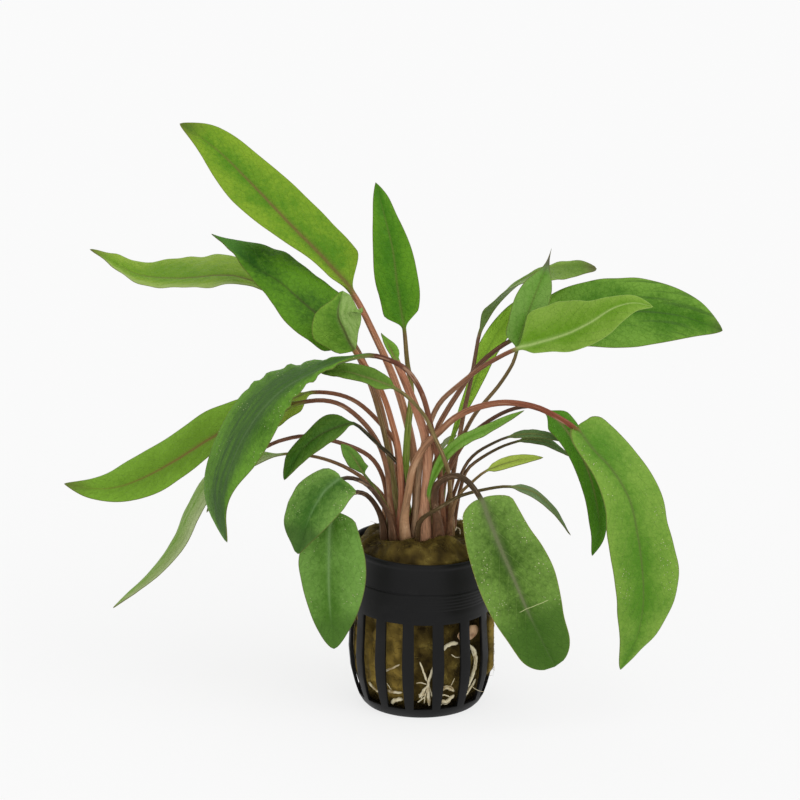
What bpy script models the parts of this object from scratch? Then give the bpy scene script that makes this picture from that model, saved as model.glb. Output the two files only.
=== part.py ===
"""A potted cryptocoryne: a rosette of long-stalked leaves growing from rock wool in a slotted net pot.

Sizes are millimetres in the frame of the pot: X to the right, Y away from the front, Z up, with the
origin in the middle of the pot's flat base. Everything is turned into metres when a mesh is made.
"""
import math
from collections import namedtuple

import bmesh
import bpy
from mathutils import Vector

for old in list(bpy.data.objects):
    bpy.data.objects.remove(old)

MM = 0.001
GAP = 0.3                      # clearance between pieces that touch

# Pot
POT_HEIGHT = 58.0
RIM_RADIUS = 25.0
WIDEST_RADIUS = 25.7           # the basket bulges a little below the collar
WIDEST_HEIGHT = 20.0
FOOT_RADIUS = 19.8
WALL = 1.1
FLOOR = 1.4
COLLAR_BOTTOM = 36.0           # the slots end here, the collar above is solid
COLLAR_LINE = 46.6             # the collar steps out a hair below this line
SLOT_BOTTOM = 3.8
SLOTS = 15
SLOT_WIDTH = 6.3
POT_SEGMENTS = 45
RIM_DROP = 0.04                # the soft plastic leans: right side lower by this share of X at the rim
FLOOR_SLOTS = 6
FLOOR_SLOT = (8.0, 3.4)        # length and width of a drain slot in the floor
FLOOR_SLOT_CENTRE = 12.0

# Rock wool plug
ROOT_SPACE = 2.35              # between wool and bars, where the roots run
WOOL_COLLAR_RADIUS = 23.0
WOOL_TOP = 62.5
WOOL_CROWN = 5.5               # how far the top falls from its middle to its edge
WOOL_SEGMENTS = 30
WOOL_BULGE_ANGLE = 72.0        # the slot through which the wool swells, degrees right of the front
WOOL_BULGE_RADIUS = 25.3
WOOL_BULGE_HEIGHTS = (11.0, 35.0)

# Roots
ROOT_SIDES = 6
ROOT_INSET = 1.15              # a root's centre line lies this far inside the wall's inner side

RHIZOME_PLACE = (43.5, 29.5)     # degrees from the front, height
RHIZOME_SIZE = (8.0, 1.6, 4.6)   # round the pot, in and out, up

# Leaves
LEAF_SIDES = 8
STALK_STEP = 14.0              # between two rings of a stalk
BLADE_RINGS = 8
BLADE_EDGE = 0.28              # half thickness of a blade beside its midrib
SPAN_STEPS = 10                # points between two route points when a curve is drawn

Leaf = namedtuple("Leaf", "name foot stalk blade facing width widest taper sides fold thick finish",
                  defaults=(0.40, 0.85, (1.0, 1.0), 8, (2.4, 1.5), "leaf_green"))


def material(name, colour, roughness):
    """A Principled BSDF material of one colour, shared by all pieces of that name."""
    found = bpy.data.materials.get(name)
    if found:
        return found
    made = bpy.data.materials.new(name)
    made.use_nodes = True
    shader = made.node_tree.nodes["Principled BSDF"]
    shader.inputs["Base Color"].default_value = (*colour, 1.0)
    shader.inputs["Roughness"].default_value = roughness
    shader.inputs["Metallic"].default_value = 0.0
    return made


def add_object(name, bm, finish):
    """Turns a bmesh in millimetres into a shaded object in metres."""
    bm.normal_update()
    bmesh.ops.recalc_face_normals(bm, faces=bm.faces)
    bmesh.ops.scale(bm, vec=(MM, MM, MM), verts=bm.verts)
    mesh = bpy.data.meshes.new(name)
    bm.to_mesh(mesh)
    bm.free()
    mesh.shade_smooth()
    mesh.set_sharp_from_angle(angle=math.radians(40))
    made = bpy.data.objects.new(name, mesh)
    made.data.materials.append(finish)
    bpy.context.collection.objects.link(made)
    return made


def round_point(radius, degrees, height):
    """A point on a circle about the pot's axis; zero degrees is the front, positive goes right."""
    turn = math.radians(degrees)
    return Vector((radius * math.sin(turn), -radius * math.cos(turn), height))


def smooth_route(points):
    """A smooth curve through the route's points, as a dense list, and each point's place in it."""
    knots = [Vector(p) for p in points]
    ends = [knots[0] * 2 - knots[1]] + knots + [knots[-1] * 2 - knots[-2]]
    dense, places = [], []
    for before, start, end, after in zip(ends, ends[1:], ends[2:], ends[3:]):
        places.append(len(dense))
        scale = (end - start).length
        leave = (end - before) / ((start - before).length + scale) * scale
        arrive = (after - start) / (scale + (after - end).length) * scale
        for step in range(SPAN_STEPS):
            t = step / SPAN_STEPS
            dense.append(start * (2 * t**3 - 3 * t**2 + 1) + leave * (t**3 - 2 * t**2 + t)
                         + end * (3 * t**2 - 2 * t**3) + arrive * (t**3 - t**2))
    places.append(len(dense))
    dense.append(knots[-1])
    return dense, places


def lengths_along(points):
    """The distance along a dense curve to each of its points."""
    total, out = 0.0, [0.0]
    for a, b in zip(points, points[1:]):
        total += (b - a).length
        out.append(total)
    return out


def point_at(points, lengths, distance):
    """The point and direction of a dense curve at a distance along it."""
    index = 0
    while index < len(points) - 2 and lengths[index + 1] < distance:
        index += 1
    a, b = points[index], points[index + 1]
    share = (distance - lengths[index]) / max(lengths[index + 1] - lengths[index], 1e-9)
    return a.lerp(b, min(max(share, 0.0), 1.0)), (b - a).normalized()


def bridge(bm, rings):
    """Joins rings of equal count with quads."""
    for low, high in zip(rings, rings[1:]):
        for k in range(len(low)):
            n = (k + 1) % len(low)
            bm.faces.new((low[k], low[n], high[n], high[k]))


def mound(x, y):
    """Height of the wool's top at a place: a low dome that falls off towards the rim."""
    share = math.hypot(x, y) / WOOL_COLLAR_RADIUS
    return WOOL_TOP - WOOL_CROWN * share**4


def outside_profile():
    """Radius and height down the outside of the pot, from its rim to its foot."""
    return [
        (RIM_RADIUS - 0.6, POT_HEIGHT),
        (RIM_RADIUS, POT_HEIGHT - 0.6),
        (RIM_RADIUS - 0.3, POT_HEIGHT - 1.6),
        (RIM_RADIUS - 0.4, COLLAR_LINE),
        (RIM_RADIUS - 0.1, COLLAR_BOTTOM),
        (WIDEST_RADIUS, WIDEST_HEIGHT),
        (WIDEST_RADIUS - 0.6, WIDEST_HEIGHT - 7),
        (FOOT_RADIUS + 3.6, 6.0),
        (FOOT_RADIUS + 1.6, 1.2),
        (FOOT_RADIUS, 0.0),
    ]


def inner_radius(height):
    """Radius of the wall's inner side at a height."""
    steps = outside_profile()[::-1]
    for (r0, z0), (r1, z1) in zip(steps, steps[1:]):
        if z0 <= height <= z1:
            return r0 + (r1 - r0) * (height - z0) / (z1 - z0) - WALL
    return RIM_RADIUS - WALL


def pot_profile():
    """Radius and height round the pot's wall, down the outside and back up the inside."""
    outside = outside_profile()
    walls = [(r - WALL, z) for r, z in outside[3:8]]
    inside = [(FOOT_RADIUS, FLOOR)] + walls[::-1] + [(RIM_RADIUS - 1.3, POT_HEIGHT - 0.8)]
    return [*outside, (0.0, 0.0), (0.0, FLOOR), *inside]


def turned(profile, segments):
    """A closed solid of revolution from a profile that starts and ends anywhere and closes on itself."""
    bm = bmesh.new()
    rings = []
    for radius, height in profile:
        if radius == 0.0:
            rings.append([bm.verts.new((0, 0, height))])
        else:
            rings.append([bm.verts.new(round_point(radius, 360 * k / segments, height))
                          for k in range(segments)])
    for low, high in zip(rings, rings[1:] + rings[:1]):
        for k in range(segments):
            n = (k + 1) % segments
            corners = [low[k % len(low)], low[n % len(low)], high[n % len(high)], high[k % len(high)]]
            corners = list(dict.fromkeys(corners))
            if len(corners) > 2:
                bm.faces.new(corners)
    return bm


def box(bm, length, width, low, high, centre, degrees):
    """A block that points outward at an angle, for cutting a slot."""
    outward = round_point(1.0, degrees, 0.0)
    across = Vector((-outward.y, outward.x, 0.0))
    corners = []
    for z in (low, high):
        for along, side in ((-1, -1), (1, -1), (1, 1), (-1, 1)):
            place = outward * (centre + along * length / 2) + across * (side * width / 2)
            corners.append(bm.verts.new((place.x, place.y, z)))
    for face in ((0, 3, 2, 1), (4, 5, 6, 7), (0, 1, 5, 4), (1, 2, 6, 5), (2, 3, 7, 6), (3, 0, 4, 7)):
        bm.faces.new([corners[i] for i in face])


def make_pot(finish):
    """The net pot: a turned shell, cut by the side slots and the drain slots, leaning at the rim."""
    shell = add_object("pot", turned(pot_profile(), POT_SEGMENTS), finish)
    bm = bmesh.new()
    reach = WIDEST_RADIUS + 4
    for k in range(SLOTS):
        box(bm, 12.0, SLOT_WIDTH, SLOT_BOTTOM, COLLAR_BOTTOM, reach - 6.0, 360 * k / SLOTS)
    for k in range(FLOOR_SLOTS):
        box(bm, *FLOOR_SLOT, -2.0, FLOOR + 1.0, FLOOR_SLOT_CENTRE, 360 * k / FLOOR_SLOTS)
    cutter = add_object("slot_cutter", bm, finish)
    cutter.hide_render = True
    cutter.display_type = "WIRE"
    cut = shell.modifiers.new("slots", "BOOLEAN")
    cut.operation = "DIFFERENCE"
    cut.solver = "EXACT"
    cut.object = cutter
    bpy.context.view_layer.update()
    cut_mesh = bpy.data.meshes.new_from_object(shell.evaluated_get(bpy.context.evaluated_depsgraph_get()))
    shell.modifiers.clear()
    shell.data = cut_mesh
    for vertex in cut_mesh.vertices:
        vertex.co.z -= RIM_DROP * vertex.co.x * vertex.co.z / (POT_HEIGHT * MM)
    bpy.data.objects.remove(cutter)
    return shell


def make_wool(finish):
    """The plug of rock wool, with a domed top and one swelling that shows in a slot."""
    low, high = WOOL_BULGE_HEIGHTS
    sides = [(inner_radius(z) - ROOT_SPACE, z) for z in (6.0, low, 17.0, 24.0, 30.0, high)]
    sides = [(16.0, 2.2), *sides, (WOOL_COLLAR_RADIUS, 42.0)]
    top = [(r, mound(r, 0.0)) for r in (WOOL_COLLAR_RADIUS, 20.5, 17.0, 11.0)]
    bm = turned([(0.0, 2.2), *sides, *top, (0.0, WOOL_TOP)], WOOL_SEGMENTS)
    for vertex in bm.verts:
        angle = math.degrees(math.atan2(vertex.co.x, -vertex.co.y))
        if abs(angle - WOOL_BULGE_ANGLE) < 1.0 and low < vertex.co.z < high:
            vertex.co = round_point(WOOL_BULGE_RADIUS, angle, vertex.co.z)
    return add_object("rock_wool", bm, finish)


def tube(name, route, radii, sides, finish):
    """A round tube along a smooth route, with its radius fading between the given values."""
    dense, _ = smooth_route(route)
    lengths = lengths_along(dense)
    count = max(3, round(lengths[-1] / 2.5) + 1)
    bm = bmesh.new()
    rings = []
    for k in range(count):
        share = k / (count - 1)
        centre, along = point_at(dense, lengths, lengths[-1] * share)
        outward = Vector((centre.x, centre.y, 0.0)).normalized()
        across = along.cross(outward).normalized()
        radius = radii[0] + (radii[1] - radii[0]) * share
        rings.append([bm.verts.new(centre + (outward * math.cos(a) + across * math.sin(a)) * radius)
                      for a in (2 * math.pi * j / sides for j in range(sides))])
    bridge(bm, rings)
    bm.faces.new(rings[0][::-1])
    bm.faces.new(rings[-1])
    return add_object(name, bm, finish)


def blade_share(t, widest, taper):
    """Half width of a blade as a share of its largest, from its base at 0 to its tip at 1."""
    if t <= 0.0 or t >= 1.0:
        return 0.0
    rise = taper * widest / (1.0 - widest)
    return (t / widest) ** rise * ((1.0 - t) / (1.0 - widest)) ** taper


def facing_at(leaf, t):
    """The way the upper side looks, fading along the blade between the leaf's facing vectors."""
    views = [Vector(v).normalized() for v in leaf.facing]
    place = min(max(t, 0.0), 1.0) * (len(views) - 1)
    index = min(int(place), len(views) - 2)
    return views[index].lerp(views[index + 1], place - index).normalized()


def stalk_and_blade_stations(stalk_length, blade_length):
    """Distances of the rings: even along the stalk, closer together at both ends of the blade."""
    count = max(3, round(stalk_length / STALK_STEP))
    stalk = [stalk_length * k / count for k in range(count)]
    even = [k / BLADE_RINGS for k in range(BLADE_RINGS)]
    rounded = [(1 - math.cos(math.pi * s)) / 2 for s in even]
    blade = [stalk_length + blade_length * (0.4 * s + 0.6 * r) for s, r in zip(even, rounded)]
    return stalk, blade


def leaf_frames(leaf, dense, lengths, stalk_length):
    """Centre, direction and upper side at every ring; a stalk carries its blade's upper side down."""
    blade_length = lengths[-1] - stalk_length
    stalk, blade = stalk_and_blade_stations(stalk_length, blade_length)
    frames = []
    for distance in reversed(stalk + blade):
        centre, along = point_at(dense, lengths, distance)
        t = (distance - stalk_length) / blade_length
        face = facing_at(leaf, t) if t >= 0.0 else frames[-1][3]
        face = (face - along * face.dot(along)).normalized()
        frames.append((t, centre, along, face, min(distance / stalk_length, 1.0)))
    return frames[::-1]


def leaf_section(leaf, t, radius):
    """Places round one ring as (sideways, upward): a circle on the stalk, a folded lens on the blade."""
    flat = min(max(t / 0.15, 0.0), 1.0)
    half = radius if t <= 0.0 else max(leaf.width / 2 * blade_share(t, leaf.widest, leaf.taper), 0.4)
    rib = radius + (0.35 + (radius - 0.35) * 0.6 * (1 - t) - radius) * flat
    beside = radius * 0.707 + (BLADE_EDGE - radius * 0.707) * flat
    fold = math.radians(leaf.fold) * flat
    section = []
    for k in range(LEAF_SIDES):
        turn = 2 * math.pi * k / LEAF_SIDES
        across = half * math.cos(turn)
        across *= 1 + (leaf.sides[0 if across > 0 else 1] - 1) * flat
        thickness = (0.0, beside, rib)[min(k % 4, 4 - k % 4)] * (1 if k < 4 else -1)
        section.append((across * math.cos(fold), thickness + abs(across) * math.sin(fold)))
    return section


def make_leaf(leaf):
    """One leaf grown in one piece: a round stalk that flattens into a thin, slightly folded blade."""
    foot = (*leaf.foot, mound(*leaf.foot) + GAP)
    dense, places = smooth_route([foot, *leaf.stalk, *leaf.blade])
    lengths = lengths_along(dense)
    stalk_length = lengths[places[len(leaf.stalk)]]
    thick_foot, thick_top = leaf.thick
    bm = bmesh.new()
    rings = []
    for t, centre, along, face, share in leaf_frames(leaf, dense, lengths, stalk_length):
        side = along.cross(face)
        radius = (thick_foot + (thick_top - thick_foot) * share) / 2
        rings.append([bm.verts.new(centre + side * across + face * up)
                      for across, up in leaf_section(leaf, t, radius)])
    for vertex in rings[0]:
        vertex.co.z = mound(vertex.co.x, vertex.co.y) + GAP
    bridge(bm, rings)
    tip = bm.verts.new(dense[-1])
    for k in range(LEAF_SIDES):
        bm.faces.new((rings[-1][k], rings[-1][(k + 1) % LEAF_SIDES], tip))
    bm.faces.new(rings[0][::-1])
    return add_object(leaf.name, bm, FINISHES[leaf.finish])


# Each leaf: foot on the wool, route of its stalk, route of its blade to the tip, the way its upper
# side looks, blade width, then its widest place, taper, fold in degrees and stalk thicknesses.
LEAVES = [
    Leaf("leaf_top_left", (-2.0, 1.0),
         [(-1.5, 0, 73.5), (-4.5, 1.5, 95), (-9.5, 4, 115.5), (-16.5, 8, 131.5), (-24.5, 12, 146.5)],
         [(-33.5, 15, 156.5), (-45.5, 19, 168), (-59, 25, 181), (-71.5, 31, 192), (-84.5, 38, 200)],
         [(0.3, -0.75, 0.6), (0.3, -0.6, 0.75)], 21, taper=0.75, sides=(1.1, 1.02), thick=(3.0, 2.0),
         finish="leaf_bright"),
    Leaf("leaf_left_pale", (-6.0, 8.4),
         [(-9, 9, 70.5), (-11, 12, 88), (-15, 17, 105), (-22.5, 22, 122), (-32, 27, 133), (-44.5, 31, 137.5)],
         [(-56, 35, 142), (-67.5, 38, 144.5), (-85.5, 43, 142), (-100, 48, 142), (-111, 52, 146.5),
          (-118, 56, 149.5)],
         [(0, -0.2, 1), (0, -0.2, 1)], 21, taper=0.75, finish="leaf_bright"),
    Leaf("leaf_mid_left", (-7.6, 1.6),
         [(-9.8, 1.2, 80.5), (-12.5, 1, 95.5), (-16, 2, 109.5), (-19.5, 2, 119.5), (-23.5, 1, 128)],
         [(-31.5, 2, 136.5), (-40.5, 5, 143.5), (-49, 9, 150), (-58, 14, 154.5), (-65, 19, 159),
          (-73.5, 26, 163)],
         [(0.2, -0.7, 0.7), (0.3, -0.6, 0.7)], 22, widest=0.36, taper=1.05, sides=(1.0, 0.85),
         thick=(2.4, 1.4)),
    Leaf("leaf_mid_front", (-7.8, -5.5),
         [(-7, -7, 76), (-8, -8, 94.5), (-10.5, -8.5, 105.5), (-13, -8, 113.5), (-16.5, -7, 120.5),
          (-22.5, -6, 129.5)],
         [(-28, -7, 136), (-32, -7.5, 142), (-33.5, -6, 149)],
         [(0.2, -0.95, 0.2), (0.2, -0.95, 0.2)], 20, widest=0.5, taper=0.5, thick=(2.6, 1.9)),
    Leaf("leaf_long_dark", (7.4, -3.2),
         [(7, -4, 75), (6, -5.5, 88), (3.2, -9.5, 103.5), (0, -11, 116), (-5, -12, 124.5),
          (-11, -13, 128.5), (-18, -14, 130.5), (-24.5, -15.5, 129.5)],
         [(-37.5, -18, 125.5), (-48, -21, 120), (-56.5, -24, 111.5), (-63.5, -26, 99.5), (-68, -27, 84.5),
          (-66.5, -27, 68)],
         [(-0.1, 0.1, 1), (-0.3, -0.35, 0.9), (-0.6, -0.8, 0.3), (-0.8, -0.6, 0.1)], 21, widest=0.5,
         thick=(2.2, 1.8)),
    Leaf("leaf_left_long", (-9.5, -1.8),
         [(-11, -2.5, 74.5), (-12, -3, 85.5), (-14.5, -2.5, 94), (-19.5, -4, 102.5), (-27, -6.5, 110),
          (-33.5, -8, 112.5), (-41, -10, 112.5)],
         [(-48, -10.5, 110.5), (-59.5, -10, 105.5), (-70.5, -9, 100.5), (-85.5, -6, 90), (-96.5, -4, 83),
          (-107, -2, 78), (-125, 2, 79)],
         [(0, -0.6, 0.8), (0, -0.6, 0.8)], 21, sides=(1.1, 0.95), finish="leaf_bright"),
    Leaf("leaf_left_hidden", (-8.6, 5.4),
         [(-8.5, 5, 79.5), (-9, 5.5, 92.5), (-14, 5.5, 99.5), (-21.5, 4, 107.5), (-28.5, 2, 111.5),
          (-36, 0, 112.5), (-43, -1, 112)],
         [(-51, 0, 107.5), (-58, 2, 98.5), (-63.5, 4, 89), (-66.5, 5, 80)],
         [(-0.2, -0.5, 0.8), (-0.5, -0.6, 0.3)], 13),
    Leaf("leaf_narrow_left", (-12.8, -0.2),
         [(-13.2, 0.4, 74), (-16, 0.5, 78), (-21, 2, 81.5), (-28.5, 5, 85), (-37.5, 8, 87), (-48, 11, 87)],
         [(-60, 14, 82.5), (-73, 17, 73), (-80, 18, 62), (-85, 18, 51.5), (-94.5, 18, 39.5),
          (-110, 18, 27)],
         [(-0.2, -0.4, 0.9), (-0.6, -0.3, 0.7)], 10, thick=(1.8, 1.0), finish="leaf_bright"),
    Leaf("leaf_small_dark", (-4.8, -2.5),
         [(-6, -4, 78.5), (-7.5, -5, 87.5), (-11, -5.5, 92), (-15, -6.5, 96), (-20.5, -8, 102),
          (-23.5, -9, 104.5)],
         [(-30, -11, 103.5), (-36, -13, 101), (-42, -15, 96), (-47.5, -17, 86.5)],
         [(-0.2, -0.8, 0.6), (-0.4, -0.8, 0.4)], 12, taper=0.7, thick=(1.8, 1.0)),
    Leaf("leaf_small_mid", (-12.2, -4.0),
         [(-11.5, -6, 71), (-15, -8, 79), (-18, -9, 83.5), (-20, -10, 86.5)],
         [(-24, -11, 93.5), (-28, -11.5, 98)],
         [(0, -0.9, 0.4), (0, -0.9, 0.4)], 8, thick=(1.6, 0.9)),
    Leaf("leaf_round_front", (-10.0, -8.8),
         [(-11, -10, 69.5), (-16, -13, 77.5), (-19, -15.5, 83), (-22, -18, 85.5)],
         [(-28, -24, 86.5), (-34, -30, 84), (-39, -35, 78), (-42, -38, 67)],
         [(-0.1, -0.7, 0.7), (-0.5, -0.75, 0.3)], 21, widest=0.45, taper=0.55, thick=(2.4, 1.6)),
    Leaf("leaf_hanging_left", (-13.0, -7.0),
         [(-14, -8, 69.5), (-16.5, -10, 75.5), (-19.5, -12.5, 80), (-23, -16, 82)],
         [(-27.5, -22, 78.5), (-30, -24.5, 69), (-31, -26, 58.5), (-31, -27, 44.5), (-30.5, -27, 28)],
         [(0, -0.7, 0.7), (-0.1, -1, 0.1), (0, -1, 0)], 23.5, widest=0.45, taper=0.65, thick=(2.4, 1.6)),
    Leaf("leaf_top_centre", (-5.0, 4.6),
         [(-6, 4, 72.5), (-6, 4, 87), (-5, 4.5, 99.5), (-3.5, 5.5, 112), (-5, 7, 122), (-6, 9, 133)],
         [(-7, 10, 139), (-8.5, 12, 148.5), (-10, 15, 160), (-12.5, 18, 170), (-16, 24, 182)],
         [(0.1, -0.95, 0.25), (0.1, -0.95, 0.25)], 15, widest=0.34, taper=0.9, thick=(2.2, 1.4)),
    Leaf("leaf_young", (0.9, -7.6),
         [(1.2, -7.6, 75), (2, -8, 88.5), (1.5, -8, 99), (-1.5, -7, 109), (-6, -6.5, 119.5)],
         [(-9.5, -6, 127), (-14, -5, 136)],
         [(0.6, -0.7, 0.4), (0.6, -0.7, 0.4)], 6, fold=30, thick=(3.0, 2.6)),
    Leaf("leaf_narrow_front", (10.6, -2.6),
         [(10, -5, 75.5), (9.5, -8.5, 85.5), (7.5, -12.5, 93.5), (5, -15.8, 100.5), (1, -16.5, 109.5),
          (-5, -16.5, 116.5), (-9, -15.5, 119)],
         [(-12.5, -14.5, 120.5), (-19.5, -13, 122.5), (-26.5, -11.5, 124), (-35.5, -10, 123.5)],
         [(0, -0.7, 0.7), (0, -0.7, 0.7)], 7, thick=(1.8, 1.2)),
    Leaf("leaf_right_arch", (7.2, 4.2),
         [(9.5, 5, 72), (12.5, 6, 90), (15, 8, 104), (17.5, 12, 115.5), (18.5, 15, 124)],
         [(20, 18, 130.5), (23, 21, 136), (27.5, 24, 140), (34.5, 28, 145), (43.5, 32, 148.5), (53, 35, 149), (62, 38, 147)],
         [(-0.5, 0.6, 0.6), (0.1, -0.6, 0.8)], 12, widest=0.5, taper=0.55, thick=(1.9, 1.3)),
    Leaf("leaf_right_large", (1.0, -1.8),
         [(2, -2, 76.5), (3, -2.5, 90), (5.5, -0.5, 100), (8.5, 1, 105.5), (12, 3.5, 110.5), (17, 7, 117),
          (22.5, 10, 122.5), (31, 14, 127.5)],
         [(45, 18, 132), (59, 21, 135), (76.5, 25, 135), (91, 28, 132.5), (106.5, 32, 126)],
         [(0, -0.75, 0.65), (0, -0.75, 0.65)], 26, widest=0.5, taper=0.8, sides=(1.1, 0.95),
         thick=(3.0, 1.8)),
    Leaf("leaf_right_front", (-2.2, -5.8),
         [(-1.5, -5.5, 75.5), (0, -4.8, 92), (3, -4.5, 103.5), (6.5, -5, 111), (12.5, -5.5, 117),
          (20, -6.5, 123.5),
          (27, -7, 128), (32.5, -8, 131)],
         [(39.5, -9, 134.5), (50, -11, 139.5), (61, -13, 144.5), (79, -14, 148)],
         [(-0.1, -0.7, 0.7), (-0.1, -0.7, 0.7)], 17, widest=0.45, sides=(0.9, 1.1), thick=(2.8, 1.6),
         finish="leaf_bright"),
    Leaf("leaf_strap_right", (3.5, 7.2),
         [(7.5, 8, 71), (9.5, 10, 87)],
         [(13, 12, 97.5), (16.5, 14, 106), (20, 16, 114.5), (23.5, 18, 123.5), (28.5, 20, 131.5),
          (38, 24, 141.5)],
         [(-0.4, -0.8, 0.3), (-0.4, -0.8, 0.3)], 10, widest=0.65, finish="leaf_bright"),
    Leaf("leaf_upright_right", (3.4, 3.0),
         [(6.5, 4, 72.5), (10.5, 4, 87), (14.5, 4, 96), (18.5, 3, 104), (22.5, 2, 109.5), (27, 1, 115.5),
          (31.5, 1, 123), (33, 2, 127.5)],
         [(36, 4, 136), (39, 8, 144), (42, 12, 151), (44, 17, 158)],
         [(-0.1, -0.9, 0.4), (-0.1, -0.9, 0.4)], 15, widest=0.5, thick=(1.8, 1.1)),
    Leaf("leaf_right_big", (-5.5, -9.5),
         [(-6, -10, 69.5), (-4.5, -10, 80.5), (-3, -10.5, 89), (1, -11.5, 97), (6.5, -12.5, 103),
          (11.5, -13.5, 108), (18.5, -15, 112), (28.5, -17, 114.5), (39, -19, 113.5), (48, -21, 109.5),
          (55, -23, 104)],
         [(61.5, -25, 97.5), (68.5, -27, 87.5), (74.5, -29, 74.5), (77.5, -30, 60), (77.5, -30, 47.5),
          (74.5, -29, 34), (69, -27, 21)],
         [(0.3, -0.6, 0.7), (0.3, -0.95, 0.1)], 24, widest=0.45, taper=0.75, thick=(3.4, 2.0)),
    Leaf("leaf_right_behind", (4.0, -1.0),
         [(5, -1, 74), (10.5, -1, 87), (16, -1, 96.5), (23, -2, 103), (30.5, -3, 107.5), (37.5, -4, 108),
          (46, -5, 105.5)],
         [(52, -8, 99.5), (56.5, -10, 91.5), (60.5, -12, 81.5), (61.5, -13, 70.5), (59.5, -13, 57.5)],
         [(0.3, -0.8, 0.3), (0.3, -0.8, 0.3)], 14, widest=0.5, thick=(2.0, 1.2)),
    Leaf("leaf_green_strap", (4.0, -5.6),
         [(4.2, -7, 75.5), (4, -8.5, 83), (5, -9, 89)],
         [(8.5, -8, 94), (16.5, -7.5, 100), (25.5, -7.5, 105), (35.5, -7.5, 109)],
         [(-0.2, -0.7, 0.7), (-0.2, -0.7, 0.7)], 6, widest=0.6, finish="leaf_bright"),
    Leaf("leaf_thin_right_upper", (8.2, 0.6),
         [(9.5, 0, 70), (12.5, -0.5, 79.5), (15.5, -1, 87), (19, -2, 91.5), (24, -3, 95), (30, -4, 98)],
         [(37.5, -5, 99.5), (44, -6, 99), (50.5, -7, 97)],
         [(0, -0.5, 0.85), (0, -0.5, 0.85)], 4, thick=(1.6, 0.9)),
    Leaf("leaf_thin_right_lower", (11.0, 1.0),
         [(12, 1, 69.5), (14, 1, 79), (16, 1, 84.5), (20.5, 1, 88.5), (27.5, 0, 93), (33.5, -1, 95.5)],
         [(37.5, -2, 96.5), (44, -3, 95.5), (51.5, -4, 91)],
         [(0, -0.5, 0.85), (0, -0.5, 0.85)], 5, thick=(1.6, 0.9)),
    Leaf("leaf_small_yellow", (9.5, -5.8),
         [(10.5, -7, 70.5), (12.5, -8, 77.5), (17.5, -10, 83.5), (22.5, -11, 88)],
         [(32.5, -12, 92), (42, -13, 93.5)],
         [(0, -0.6, 0.8), (0, -0.6, 0.8)], 5, thick=(1.6, 0.9), finish="leaf_bright"),
    Leaf("leaf_narrow_right", (-1.6, -10.5),
         [(-0.5, -12, 70), (6.5, -13.5, 75.5), (13, -15, 80), (23.5, -17, 83.5), (30.5, -18, 84.5)],
         [(39, -20, 83), (45, -21, 77.5), (51.5, -22, 68)],
         [(0.2, -0.6, 0.8), (0.4, -0.6, 0.6)], 4.5, thick=(1.6, 1.0)),
    Leaf("leaf_front_right", (6.0, -9.0),
         [(5.5, -9.5, 69.5), (4.5, -10, 77), (5.5, -12, 83.5), (11, -15, 87.5), (15, -18, 87),
          (18.5, -21, 82.5), (20, -23, 79)],
         [(27, -30, 67.5), (32, -33, 56.5), (37.5, -35, 44.5), (45.5, -36, 25)],
         [(0.15, -0.9, 0.45), (0.1, -1, 0.15)], 27, widest=0.5, taper=0.5, thick=(3.6, 2.0)),
    Leaf("leaf_behind_small", (-0.8, 5.0),
         [(1, 6, 71.5), (3, 8, 78.5), (4.5, 9, 81.5)],
         [(7.5, 14, 85.5), (11.5, 19, 87.5)],
         [(0.2, 0.8, 0.5), (0.2, 0.8, 0.5)], 7, thick=(1.6, 1.0)),
    Leaf("leaf_left_low", (-11.0, 2.6),
         [(-12, 3.4, 73), (-14, 3, 82.5), (-18.5, 1.5, 89.5), (-28.5, -1, 95), (-40.5, -3, 98), (-49, -5, 97)],
         [(-55.5, -7, 94.5), (-64.5, -11, 88), (-71.5, -14, 80), (-74.5, -15, 74)],
         [(-0.3, -0.6, 0.6), (-0.3, -0.6, 0.6)], 10, thick=(1.8, 1.3)),
]

# Each root: the slot angles and heights that it passes, and its thickness at both ends.
ROOTS = {
    "root_thin_left": ([(-34, 17.0), (-27, 18.6), (-19, 20.6)], (0.8, 0.6)),
    "root_low_left": ([(-30, 4.6), (-25, 6.4), (-18, 7.0)], (1.6, 1.3)),
    "root_left_level": ([(-33, 9.6), (-25, 9.4), (-18, 9.8)], (1.1, 0.8)),
    "root_fork_left": ([(-8.5, 20.0), (-3, 16.0), (0, 12.0), (-1.5, 6.6)], (0.7, 1.2)),
    "root_fork_right": ([(9, 20.0), (5, 17.0), (3.4, 13.0), (4, 8.0), (6, 5.0)], (0.7, 1.1)),
    "root_low_centre": ([(-8, 11.4), (-6, 8.6), (-7, 5.4)], (1.2, 1.2)),
    "root_thick_right": ([(17, 23.6), (23, 26.0), (32, 27.0)], (1.3, 1.5)),
    "root_arc_right": ([(44, 25.0), (51, 21.5), (53, 17.0), (48, 12.0), (43, 8.0)], (1.5, 1.2)),
    "root_tangle_upper": ([(16, 10.6), (23, 11.4), (31, 9.6)], (1.2, 1.0)),
    "root_tangle_lower": ([(17, 6.6), (24, 5.8), (32, 7.8)], (1.3, 1.2)),
    "root_low_right": ([(45, 6.0), (53, 9.0), (58, 11.4)], (1.1, 0.8)),
}

FINISHES = {
    "leaf_green": material("leaf_green", (0.08, 0.21, 0.025), 0.45),
    "leaf_bright": material("leaf_bright", (0.15, 0.32, 0.03), 0.5),
    "pot": material("black_plastic", (0.014, 0.014, 0.013), 0.4),
    "wool": material("rock_wool", (0.20, 0.14, 0.04), 0.95),
    "root": material("root", (0.78, 0.70, 0.52), 0.6),
    "rhizome": material("rhizome", (0.62, 0.42, 0.30), 0.7),
}


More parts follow.
